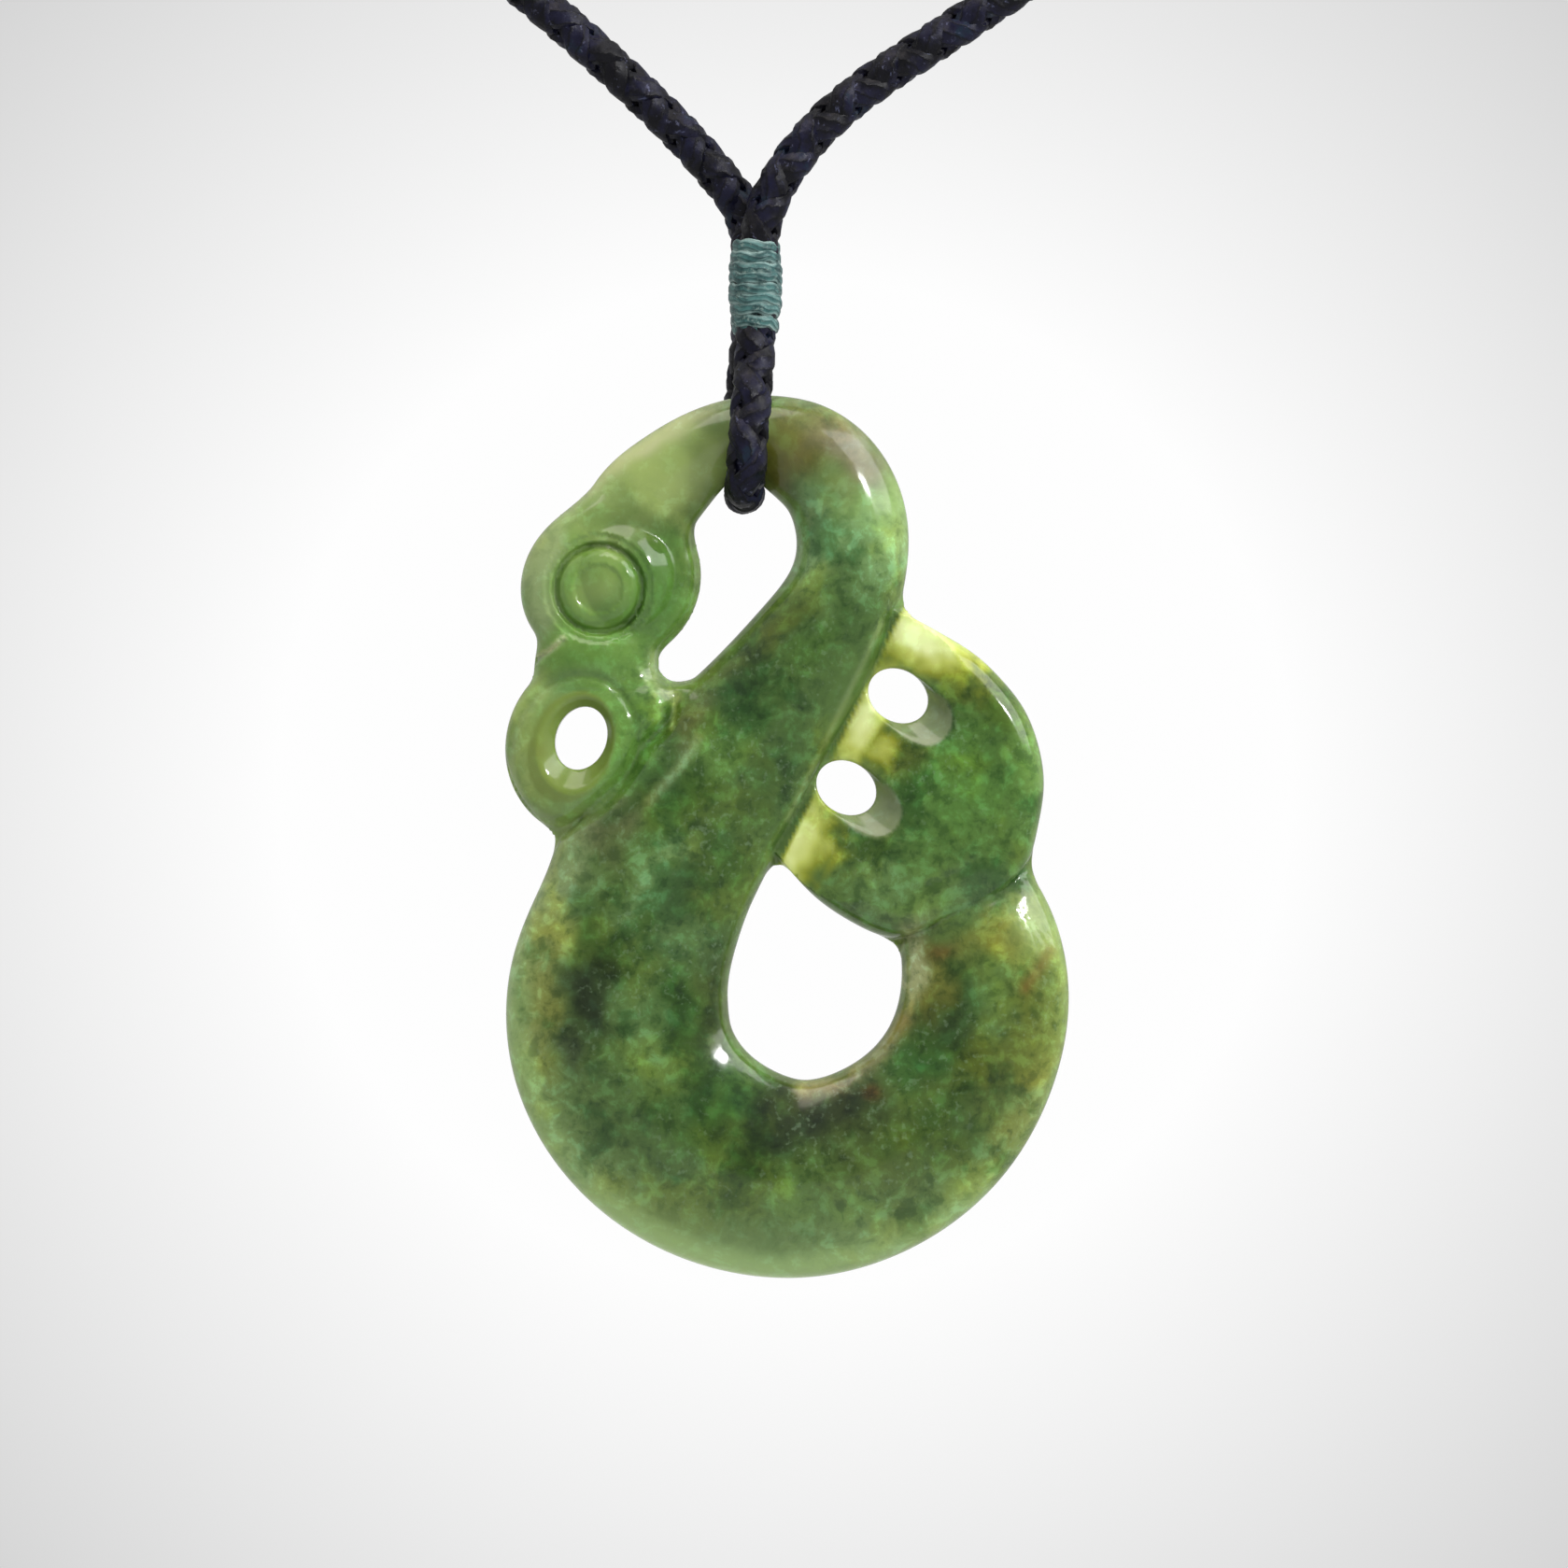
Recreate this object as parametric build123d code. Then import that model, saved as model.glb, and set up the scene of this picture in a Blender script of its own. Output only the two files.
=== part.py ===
from build123d import *
import math
import os
from collections import namedtuple

# A carved jade manaia on a plaited neck cord, in millimetres.
# The front faces -Y, X runs to the right seen from the front, and +Z is up.
# The origin is the underside of the back tie, where the loop rests on a neck or a peg.

# Jade, overall sizes
WIDTH = 35.0
HEIGHT = 55.0
THICKNESS = 6.0
RIM_ROLL = 0.62

# Jade, lobes
HEAD_WIDE = 11.3
HEAD_TALL = 10.2
HEAD_THICK = 5.4
HEAD_TILT = 28.0
SNOUT_WIDE = 10.5
SNOUT_TALL = 11.4
SNOUT_THICK = 4.9
SNOUT_TILT = -10.0
THROAT_WIDE = 7.4
THROAT_TALL = 4.6
THROAT_THICK = 4.0
JAW_WIDE = 3.0
FIN_THICK = 5.0
FIN_RIM = 1.5
FIN_ROOT_THICK = 1.9
FIN_SLOPE_WIDE = 4.2

# Jade, carved details
EYE_GROOVE_WIDE = 5.8
EYE_GROOVE_DEEP = 0.5
EYE_BUTTON_WIDE = 5.0
EYE_BUTTON_FALL = 0.4
EYE_FLAT_WIDE = 3.1
MOUTH_WIDE = 3.15
MOUTH_TALL = 4.0
MOUTH_DISH_WIDE = 5.4
MOUTH_DISH_TALL = 7.6
MOUTH_DISH_DEEP = 1.6
MOUTH_TILT = 20.0
FIN_HOLE_WIDE = 3.9
FIN_HOLE_TALL = 3.2
FIN_HOLE_TILT = -32.0
FIN_FLARE_DEEP = 1.3

# Cord and its bindings
CORD = 2.6
THREAD = 0.2
CLEARANCE = 0.25
WHIPPING_TALL = 6.0
TIE_LONG = 14.0

# The limb of the manaia, from the head over the top, down the body and round to the tail.
# across and up are shares of WIDTH and HEIGHT from the lower left corner of the carving,
# half is the limb's half width as a share of WIDTH, thick is a share of THICKNESS.
Station = namedtuple("Station", "across up half thick")
LIMB = [Station(*row) for row in (
    (0.186, 0.823, 0.080, 0.45),
    (0.241, 0.874, 0.093, 0.50),
    (0.296, 0.910, 0.085, 0.58),
    (0.358, 0.941, 0.072, 0.67),
    (0.423, 0.956, 0.067, 0.73),
    (0.499, 0.944, 0.087, 0.76),
    (0.574, 0.910, 0.097, 0.82),
    (0.612, 0.857, 0.100, 0.87),
    (0.607, 0.793, 0.101, 0.91),
    (0.557, 0.722, 0.118, 0.95),
    (0.474, 0.648, 0.135, 0.98),
    (0.379, 0.571, 0.163, 1.00),
    (0.291, 0.499, 0.181, 1.00),
    (0.240, 0.420, 0.181, 1.00),
    (0.201, 0.337, 0.195, 1.00),
    (0.208, 0.254, 0.198, 1.00),
    (0.285, 0.175, 0.193, 1.00),
    (0.403, 0.128, 0.185, 0.99),
    (0.531, 0.114, 0.176, 0.98),
    (0.657, 0.136, 0.170, 0.96),
    (0.759, 0.184, 0.163, 0.94),
    (0.825, 0.250, 0.155, 0.91),
    (0.850, 0.322, 0.150, 0.87),
    (0.835, 0.390, 0.140, 0.80),
    (0.794, 0.448, 0.123, 0.62),
)]
CROWN = LIMB[4]

# The fin's edge, clockwise from its top corner on the body. The last six lie inside the body.
Spot = namedtuple("Spot", "across up")
FIN_EDGE = [Spot(*row) for row in (
    (0.699, 0.756),
    (0.777, 0.729),
    (0.837, 0.707),
    (0.887, 0.683),
    (0.920, 0.645),
    (0.947, 0.603),
    (0.955, 0.558),
    (0.945, 0.513),
    (0.925, 0.468),
    (0.874, 0.426),
    (0.790, 0.398),
    (0.697, 0.385),
    (0.614, 0.404),
    (0.546, 0.434),
    (0.486, 0.475),
    (0.430, 0.518),
    (0.409, 0.566),
    (0.432, 0.632),
    (0.492, 0.706),
    (0.560, 0.755),
    (0.631, 0.771),
)]

# Where the lobes and the carved details sit, as the same shares
FIN_ROOT_TOP = Spot(0.699, 0.756)
FIN_ROOT_LOW = Spot(0.486, 0.475)
HEAD_AT = Spot(0.183, 0.789)
EYE_AT = Spot(0.165, 0.781)
SNOUT_AT = Spot(0.148, 0.603)
THROAT_AT = Spot(0.161, 0.702)
MOUTH_AT = Spot(0.133, 0.612)
JAW_AT = Spot(0.271, 0.655)
FIN_HOLES = [Spot(0.696, 0.660), Spot(0.604, 0.556)]
FIN_FLARES = [Spot(0.718, 0.647), Spot(0.626, 0.543)]

# The cord's route, from the back tie down the left branch, through the whipping,
# behind, under and in front of the jade, up through the whipping and round on the right.
CORD_ROUTE = [
    (-0.3, 0.0, 1.75), (-16.5, 0.0, 1.75), (-38.5, 0.0, -4.0), (-57.5, 0.0, -17.5),
    (-70.0, 0.0, -36.5), (-74.0, 0.0, -57.5), (-63.5, 0.0, -76.5), (-46.0, 0.0, -91.0),
    (-28.0, 0.0, -103.5), (-13.8, 0.2, -115.0), (-6.5, 0.7, -121.6), (-2.7, 1.2, -125.6),
    (-0.05, 1.4, -129.2), (0.0, 1.4, -137.3), (-0.3, 3.9, -140.6), (-0.7, 3.9, -146.2),
    (-0.7, -3.9, -146.2), (-0.3, -3.9, -140.6), (0.0, -1.4, -137.3), (0.05, -1.4, -129.2),
    (2.3, -1.0, -125.0), (6.0, -0.5, -121.2), (13.3, -0.1, -116.5), (28.0, 0.0, -106.5),
    (46.0, 0.0, -92.5), (63.0, 0.0, -76.5), (74.0, 0.0, -57.0), (71.0, 0.0, -35.5),
    (57.5, 0.0, -16.5), (38.5, 0.0, -3.8), (17.0, 0.0, 1.75), (0.3, 0.0, 1.75),
]
SHARE_OF_RUN = 0.45
BEND = slice(14, 18)
BEND_RADIUS = 3.6
LEG = slice(12, 14)

cord_points = [Vector(*point) for point in CORD_ROUTE]
leg_top, leg_foot = cord_points[LEG]
seat = cord_points[BEND][1]
jade_bottom = seat.Z + CORD / 2 + CLEARANCE + CROWN.half * WIDTH - CROWN.up * HEIGHT


def place(spot):
    """Return a spot of the carving, given in shares, as a point in its middle plane."""
    return Vector(seat.X + (spot.across - CROWN.across) * WIDTH, 0, jade_bottom + spot.up * HEIGHT)


def facing(centre, y=0.0):
    """Return a plane that faces the front at a point, with the part's X and Z as its axes."""
    return Plane(origin=(centre.X, y, centre.Z), x_dir=(1, 0, 0), z_dir=(0, -1, 0))


def cushion(half_wide, half_thick):
    """Draw a section of two bowed faces and two rolled rims, as four tangent arcs."""
    rim = RIM_ROLL * half_thick
    reach = half_wide - rim
    bow = (reach**2 + half_thick**2 - rim**2) / (2 * (half_thick - rim))
    x = bow * reach / (bow - rim)
    y = rim * (bow - half_thick) / (bow - rim)
    arcs = [
        ThreePointArc((x, y), (0, half_thick), (-x, y)),
        ThreePointArc((-x, y), (-half_wide, 0), (-x, -y)),
        ThreePointArc((-x, -y), (0, -half_thick), (x, -y)),
        ThreePointArc((x, -y), (half_wide, 0), (x, y)),
    ]
    return make_face(arcs)


def heading(before, here, after):
    """Return the direction of a smooth curve at the middle one of three points."""
    run_in = here - before
    run_out = after - here
    return run_in * (run_out.length / run_in.length) + run_out * (run_in.length / run_out.length)


def limb():
    """Loft the curled limb through its stations, each square to the curve of their centres."""
    centres = [place(station) for station in LIMB]
    headings = [centres[1] - centres[0]]
    headings += [heading(*centres[i - 1:i + 2]) for i in range(1, len(centres) - 1)]
    headings += [centres[-1] - centres[-2]]
    sections = []
    for station, centre, along in zip(LIMB, centres, headings):
        square = Plane(origin=centre, x_dir=along.cross(Vector(0, 1, 0)), z_dir=along)
        sections.append(square * cushion(station.half * WIDTH, station.thick * THICKNESS / 2))
    return loft(sections)


def pebble(spot, wide, tall, thick, tilt=0.0):
    """Turn a round cushion about the depth axis, stretch it to an oval and tilt it at its spot."""
    right_half = Pos(wide / 2, 0) * Rectangle(wide, 2 * thick)
    turned = revolve(cushion(wide / 2, thick / 2) & right_half, Axis.Y)
    return Pos(place(spot)) * Rot(0, -tilt, 0) * scale(turned, by=(1, 1, tall / wide))


def plate(outline, thick, rim):
    """Raise a plate to both sides of the middle plane and roll its rims."""
    solid = extrude(outline, thick / 2, both=True)
    return fillet(solid.faces().filter_by(Axis.Y).edges(), rim)


def fin():
    """Cut the fin from a plate with a rolled rim, thinned in a slope where it meets the body."""
    edge = Spline(*[place(spot) for spot in FIN_EDGE], periodic=True)
    solid = plate(make_face(edge), FIN_THICK, FIN_RIM)
    top = place(FIN_ROOT_TOP)
    root = top - place(FIN_ROOT_LOW)
    local = Plane(origin=top, x_dir=root.cross(Vector(0, -1, 0)), z_dir=root)
    for side in (1, -1):
        slope = Polyline(
            (-root.length, side * FIN_ROOT_THICK / 2),
            (0, side * FIN_ROOT_THICK / 2),
            (FIN_SLOPE_WIDE, side * FIN_THICK / 2),
            (FIN_SLOPE_WIDE, side * FIN_THICK),
            (-root.length, side * FIN_THICK),
            close=True,
        )
        solid -= extrude(local * make_face(slope), 2 * root.length, both=True)
    return solid


def eye_cut():
    """Return the ring cut round the eye: a sharp groove and the bevel up to the button's flat."""
    face = -HEAD_THICK / 2
    shoulder = face + EYE_BUTTON_FALL
    ring = Polyline(
        (EYE_GROOVE_WIDE / 2, 2 * face),
        (EYE_GROOVE_WIDE / 2, shoulder),
        ((EYE_GROOVE_WIDE + EYE_BUTTON_WIDE) / 4, shoulder + EYE_GROOVE_DEEP),
        (EYE_BUTTON_WIDE / 2, shoulder),
        (EYE_FLAT_WIDE / 2, face),
        (EYE_FLAT_WIDE / 2, 2 * face),
        close=True,
    )
    return Pos(place(EYE_AT)) * revolve(make_face(ring), Axis.Y)


def mouth_cuts():
    """Return the mouth: an oval hole right through, with a dished rim in front."""
    centre = place(MOUTH_AT)
    face = -SNOUT_THICK / 2
    tilt = Rot(0, 0, -MOUTH_TILT)
    hole = facing(centre) * tilt * Ellipse(MOUTH_WIDE / 2, MOUTH_TALL / 2)
    brim = facing(centre, face) * tilt * Ellipse(MOUTH_DISH_WIDE / 2, MOUTH_DISH_TALL / 2)
    waist = facing(centre, face + MOUTH_DISH_DEEP) * tilt * Ellipse(MOUTH_WIDE / 2, MOUTH_TALL / 2)
    return [extrude(hole, THICKNESS, both=True), loft([brim, waist])]


def fin_hole_cuts():
    """Return the fin's two drilled holes, each run out at a slant in front, toward the lower outside."""
    waist = FIN_FLARE_DEEP - FIN_THICK / 2
    oval = Rot(0, 0, FIN_HOLE_TILT) * Ellipse(FIN_HOLE_WIDE / 2, FIN_HOLE_TALL / 2)
    cuts = []
    for hole_at, flare_at in zip(FIN_HOLES, FIN_FLARES):
        centre = place(hole_at)
        slant = place(flare_at) - centre - Vector(0, FIN_FLARE_DEEP, 0)
        cuts += [
            extrude(facing(centre) * oval, THICKNESS, both=True),
            extrude(facing(centre, waist) * oval, THICKNESS, dir=slant),
        ]
    return cuts


def tube(points, radii, wide):
    """Sweep a round section along straight runs joined by tangent arcs."""
    path = FilletPolyline(*points, radius=radii)
    return sweep(Plane(origin=path @ 0, z_dir=path % 0) * Circle(wide / 2), path=path)


def jade_manaia():
    """Join the limb, the fin and the lobes of the head, and carve the details."""
    head = pebble(HEAD_AT, HEAD_WIDE, HEAD_TALL, HEAD_THICK, HEAD_TILT)
    snout = pebble(SNOUT_AT, SNOUT_WIDE, SNOUT_TALL, SNOUT_THICK, SNOUT_TILT)
    throat = pebble(THROAT_AT, THROAT_WIDE, THROAT_TALL, THROAT_THICK)
    jaw = Pos(place(JAW_AT)) * Sphere(JAW_WIDE / 2)
    solid = limb() + fin() + head + snout + throat + jaw
    for cut in (eye_cut(), *mouth_cuts(), *fin_hole_cuts()):
        solid -= cut
    return solid


def cord_radii():
    """Return the arc at each inner point, as large as its two runs allow, or the jade's arch."""
    radii = []
    for i in range(1, len(cord_points) - 1):
        run_in = cord_points[i] - cord_points[i - 1]
        run_out = cord_points[i + 1] - cord_points[i]
        half_turn = math.radians(run_in.get_angle(run_out)) / 2
        radius = SHARE_OF_RUN * min(run_in.length, run_out.length) / math.tan(half_turn)
        if BEND.start < i < BEND.stop - 1:
            radius = BEND_RADIUS
        radii.append(radius)
    return radii


def cord():
    """Run the cord as one open tube whose two ends meet inside the back tie."""
    radii = cord_radii()
    print("cord arc radii, mm:", [round(radius, 1) for radius in radii])
    path = FilletPolyline(*cord_points, radius=radii)
    solid = tube(cord_points, radii, CORD)
    section = math.pi * CORD**2 / 4
    ratio = solid.volume / (section * path.length)
    print("cord length, mm:", round(path.length, 1), "volume over section times length:", round(ratio, 4))
    return solid


def whipping():
    """Bind both legs of the cord above the arch in an oblong sleeve of thread."""
    bore = CORD + 2 * CLEARANCE
    outer = SlotCenterToCenter(2 * leg_foot.Y, bore + 2 * THREAD, rotation=90)
    inner = SlotCenterToCenter(2 * leg_foot.Y, bore, rotation=90)
    return Pos(0, 0, (leg_top.Z + leg_foot.Z) / 2) * extrude(outer - inner, WHIPPING_TALL / 2, both=True)


def back_tie():
    """Bind the cord's two ends at the nape in a plain round sleeve."""
    bore = CORD / 2 + CLEARANCE
    ring = Circle(bore + THREAD) - Circle(bore)
    middle = Plane(origin=(0, 0, cord_points[0].Z), z_dir=(1, 0, 0))
    return extrude(middle * ring, TIE_LONG / 2, both=True)


def main():
    os.makedirs("parts", exist_ok=True)
    nodes = {
        "jade_manaia": jade_manaia(),
        "cord": cord(),
        "whipping": whipping(),
        "back_tie": back_tie(),
    }
    for name, solid in nodes.items():
        export_step(solid, f"parts/{name}.step")


main()
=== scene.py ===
import math
from collections import namedtuple

import bpy
import numpy as np
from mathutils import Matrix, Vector


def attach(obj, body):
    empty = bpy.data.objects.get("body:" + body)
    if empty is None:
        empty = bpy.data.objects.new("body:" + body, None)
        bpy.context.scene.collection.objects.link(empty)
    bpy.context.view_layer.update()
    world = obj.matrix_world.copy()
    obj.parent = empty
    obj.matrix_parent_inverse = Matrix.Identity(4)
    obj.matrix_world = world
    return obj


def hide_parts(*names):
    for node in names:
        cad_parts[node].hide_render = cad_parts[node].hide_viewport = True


# A carved jade manaia on a plaited neck cord.
# Lengths are in millimetres up to the meshes, which are in metres.
# The front faces -Y, X runs to the right seen from the front, and Z is up.

MM = 0.001
# Farther away than any mark or edge of the carving
FAR = 99.0

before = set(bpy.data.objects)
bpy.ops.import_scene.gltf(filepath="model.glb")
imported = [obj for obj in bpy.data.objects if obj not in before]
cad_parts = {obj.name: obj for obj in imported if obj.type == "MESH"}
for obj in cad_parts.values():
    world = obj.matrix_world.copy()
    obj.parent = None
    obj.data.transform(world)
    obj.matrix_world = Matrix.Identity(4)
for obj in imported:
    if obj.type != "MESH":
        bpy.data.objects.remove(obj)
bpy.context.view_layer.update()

# Jade, overall sizes
WIDTH = 35.0
HEIGHT = 55.0
THICKNESS = 6.0
RIM_ROLL = 0.62

# Where the jade hangs: the cord's seat under the crown of the limb
SEAT_X = -0.7
JADE_BOTTOM = -194.885

# The limb from the head over the top, down the body and round to the tail.
# across and up are shares of WIDTH and HEIGHT from the lower left corner of the carving,
# half is the limb's half width as a share of WIDTH, thick is a share of THICKNESS.
Station = namedtuple("Station", "across up half thick")
LIMB = [Station(*row) for row in (
    (0.186, 0.823, 0.080, 0.45),
    (0.241, 0.874, 0.093, 0.50),
    (0.296, 0.910, 0.085, 0.58),
    (0.358, 0.941, 0.072, 0.67),
    (0.423, 0.956, 0.067, 0.73),
    (0.499, 0.944, 0.087, 0.76),
    (0.574, 0.910, 0.097, 0.82),
    (0.612, 0.857, 0.100, 0.87),
    (0.607, 0.793, 0.101, 0.91),
    (0.557, 0.722, 0.118, 0.95),
    (0.474, 0.648, 0.135, 0.98),
    (0.379, 0.571, 0.163, 1.00),
    (0.291, 0.499, 0.181, 1.00),
    (0.240, 0.420, 0.181, 1.00),
    (0.201, 0.337, 0.195, 1.00),
    (0.208, 0.254, 0.198, 1.00),
    (0.285, 0.175, 0.193, 1.00),
    (0.403, 0.128, 0.185, 0.99),
    (0.531, 0.114, 0.176, 0.98),
    (0.657, 0.136, 0.170, 0.96),
    (0.759, 0.184, 0.163, 0.94),
    (0.825, 0.250, 0.155, 0.91),
    (0.850, 0.322, 0.150, 0.87),
    (0.835, 0.390, 0.140, 0.80),
    (0.794, 0.448, 0.123, 0.62),
)]
CROWN = max(LIMB, key=lambda station: station.up)
# The limb curls back on itself, so it is measured in stretches of stations that overlap
LIMB_STRETCHES = ((0, 8), (6, 16), (14, 24))
LIMB_STEPS = 50

# The fin's edge, clockwise from its top corner on the body
Spot = namedtuple("Spot", "across up")
FIN_EDGE = [Spot(*row) for row in (
    (0.699, 0.756),
    (0.777, 0.729),
    (0.837, 0.7045),
    (0.881, 0.6775),
    (0.917, 0.648),
    (0.9445, 0.606),
    (0.955, 0.558),
    (0.945, 0.513),
    (0.925, 0.468),
    (0.874, 0.426),
    (0.790, 0.398),
    (0.697, 0.385),
    (0.614, 0.404),
    (0.546, 0.434),
    (0.486, 0.475),
    (0.430, 0.518),
    (0.409, 0.566),
    (0.432, 0.632),
    (0.492, 0.706),
    (0.560, 0.755),
    (0.631, 0.771),
)]
FIN_STEPS = 900
FIN_LAP = 4
# The fin's section in mm: its rolled rim, its slight crown, and the slope down to its root on the body
FIN_THICK = 5.0
FIN_RIM = 1.6
FIN_CROWN = 0.12
FIN_CROWN_WIDE = 6.0
FIN_ROOT_THICK = 1.9
FIN_SLOPE_WIDE = 6.4
FIN_SLOPE_LEAN = 0.9
FIN_ROOT_TOP = Spot(0.699, 0.756)
FIN_ROOT_LOW = Spot(0.486, 0.475)

# Round lobes of the head: where, how wide, tall and thick in mm, tilt in degrees,
# roll of the rim, and the blend in mm by which each joins the stone
Lobe = namedtuple("Lobe", "across up wide tall thick tilt roll blend")
HEAD = Lobe(0.183, 0.789, 11.3, 10.2, 4.4, 28, 0.62, 1.2)
DOME = Lobe(0.206, 0.795, 8.6, 9.3, 5.7, 0, 0.3, 0.05)
SNOUT = Lobe(0.148, 0.603, 10.5, 11.4, 4.9, -10, 0.55, 1.2)
THROAT = Lobe(0.158, 0.702, 7.4, 4.6, 4.2, 0, 0.5, 1.1)
JAW = Lobe(0.262, 0.645, 3.4, 3.4, 3.4, 0, 1.0, 2.0)
WEB = Lobe(0.318, 0.646, 2.2, 2.2, 2.2, 0, 1.0, 1.2)

# Carved details
EYE_AT = Spot(0.165, 0.781)
# How deep the eye is cut at each radius in mm: button, step, ring, groove and outer chamfer
EYE_CUT = (
    (0, 0.20), (1.40, 0.20), (1.62, 0.08), (2.10, 0.14), (2.38, 0.30),
    (2.55, 0.58), (2.80, 0.58), (2.98, 0.18), (3.30, 0.14), (3.50, 0.0),
)
Oval = namedtuple("Oval", "across up wide tall turn")
MOUTH = Oval(0.133, 0.612, 3.15, 4.0, -20)
MOUTH_DISH = Oval(0.115, 0.602, 5.3, 7.3, -20)
MOUTH_DISH_DEEP = 1.3
MOUTH_EDGE_ROUND = 0.35
FIN_HOLES = (Oval(0.696, 0.660, 3.9, 3.2, -32), Oval(0.604, 0.556, 3.9, 3.2, -32))
FIN_FLARES = (Oval(0.734, 0.638, 4.7, 3.6, -35), Oval(0.644, 0.534, 4.7, 3.6, -35))
FIN_FLARE_DEEP = 1.5
HOLE_EDGE_ROUND = 0.25
# A flare widens on in front of the face, up to this many times its depth
FLARE_ON = 1.4

# The carved lines where two forms meet: how wide and deep each is in mm,
# and the notch that they run into at the outline
Seam = namedtuple("Seam", "wide deep")
FIN_SEAM = Seam(0.5, 0.2)
CHEEK_SEAM = Seam(0.35, 0.12)
SNOUT_SEAM = Seam(0.5, 0.45)
SEAM_BLEND = 0.05
NOTCH_ROUND = 1.5
NOTCH_DEEP = 0.8

# The shallow ring carved round the mouth: its oval and how deep it is
MOUTH_RING = Oval(0.120, 0.600, 7.6, 9.3, -20)
MOUTH_RING_WIDE = 0.3
MOUTH_RING_DEEP = 0.14

# Below this spot the snout is carved off the body, and above it the two melt together
CREASE_TOP = Spot(0.27, 0.668)
CREASE_FADE = 1.2
# The short cut at the corner of the lips
LIP_CUT = (Spot(0.050, 0.699), Spot(0.100, 0.722))
LIP_CUT_WIDE = 0.16
LIP_CUT_DEEP = 0.16

# The mesh of the stone: its cells in mm, the box that they fill,
# and how its points are settled on the surface
CELL = 0.215
BOX_LOW = Spot(-0.02, -0.015)
BOX_HIGH = Spot(1.03, 1.02)
BOX_HALF_THICK = 3.5
SETTLE_ROUNDS = 2
SLOPE_REACH = 0.05
SLOPE_LEAST = 0.3
SPOTS_AT_ONCE = 20000

# Cord and its bindings
CORD = 2.6
CORD_ROUTE = [
    (-0.3, 0.0, 1.75), (-16.5, 0.0, 1.75), (-38.5, 0.0, -4.0), (-57.5, 0.0, -17.5),
    (-70.0, 0.0, -36.5), (-74.0, 0.0, -57.5), (-63.5, 0.0, -76.5), (-46.0, 0.0, -91.0),
    (-28.0, 0.0, -103.5), (-13.8, 0.2, -115.0), (-6.5, 0.7, -121.6), (-2.7, 1.2, -125.6),
    (-0.05, 1.4, -129.2), (-0.35, 1.4, -137.3), (-0.85, 3.9, -140.6), (-0.7, 3.9, -146.0),
    (-0.7, -3.9, -146.0), (-0.3, -3.9, -140.6), (0.0, -1.4, -137.3), (0.05, -1.4, -129.2),
    (2.3, -1.0, -125.0), (6.0, -0.5, -121.2), (13.3, -0.1, -116.5), (28.0, 0.0, -106.5),
    (46.0, 0.0, -92.5), (63.0, 0.0, -76.5), (74.0, 0.0, -57.0), (71.0, 0.0, -35.5),
    (57.5, 0.0, -16.5), (38.5, 0.0, -3.8), (17.0, 0.0, 1.75), (0.3, 0.0, 1.75),
]
ROUTE_STEPS = 24
SAME_SPOT = 1e-6
# The plait, in mm: how long one turn is, where it starts in degrees, how wide and thick a strand is,
# how far out it lies, how far it swings over and under its neighbours, and the core inside
PLAIT_PITCH = 6.66
PLAIT_STEPS = 24
PLAIT_START = 45
STRAND_WIDE = 1.8
STRAND_THICK = 1.0
STRAND_REACH = 0.72
STRAND_SWING = 0.13
CORE_WIDE = 1.7
CORE_SIDES = 6

# The whipping: eight turns of thread round both legs of the cord, fullest a little above
# the middle and drooping at the lower end. A bow of 1 would make an oval, and less is squarer.
WRAP_TOP = -130.25
WRAP_TALL = 6.0
WRAP_TURNS = 8.2
WRAP_STEPS = 60
WRAP_START = 200
WRAP_SHIFT = -0.02
WRAP_HALF_WIDE = 1.48
WRAP_HALF_DEEP = 2.88
WRAP_BOW = 2 / 2.7
WRAP_TAPER = 0.16
WRAP_FULLEST = 0.45
WRAP_LEAN = 0.06
WRAP_DROOP = 0.16
WRAP_DROOP_START = 0.8
WRAP_DROOP_SIDE = -1.0
WRAP_THICK = 0.44
WRAP_SIDES = 10
# Waves in how tight and how level the thread is wound: height, rate and start
WRAP_TIGHTNESS = ((0.012, 5 / 3.7, 0), (0.012, 0.37, 1))
WRAP_WANDER = (
    (0.035, 3.09, math.pi / 2), (0.035, 3.51, -math.pi / 2), (0.05, 0.61, 0), (0.06, 7.3, 0),
)
# A flattened thread is this much wider than its turn is high
THREAD_LAP = 1.12

# The tie at the nape: close turns of thread round the cord's two ends
TIE_LONG = 14.0
TIE_UP = 1.75
TIE_TURNS = 19
TIE_STEPS = 32
TIE_CLEAR = 0.1
TIE_THICK = 0.4


def place(spot):
    """Return a spot of the carving, given in shares, as x and z in millimetres."""
    return np.array((
        SEAT_X + (spot.across - CROWN.across) * WIDTH,
        JADE_BOTTOM + spot.up * HEIGHT,
    ))


def ride_root(piece):
    """Let a piece move with the necklace."""
    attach(piece, "root")


# Camera, square to the carving's front, far off as a long lens is
FILM_WIDE = 36
VIEW_TALL = 97.6
VIEW_AT = Vector((1.76, 0, -164.07)) * MM
CAMERA_FAR = 0.8


def make_camera():
    """Set the camera square to the carving's front."""
    lens = bpy.data.cameras.new("camera")
    lens.sensor_width = FILM_WIDE
    lens.lens = FILM_WIDE * CAMERA_FAR / (VIEW_TALL * MM)
    camera = bpy.data.objects.new("camera", lens)
    camera.location = VIEW_AT + Vector((0, -CAMERA_FAR, 0))
    camera.rotation_euler = (math.radians(90), 0, 0)
    bpy.context.scene.collection.objects.link(camera)
    bpy.context.scene.camera = camera


make_camera()


# Meshes

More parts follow.
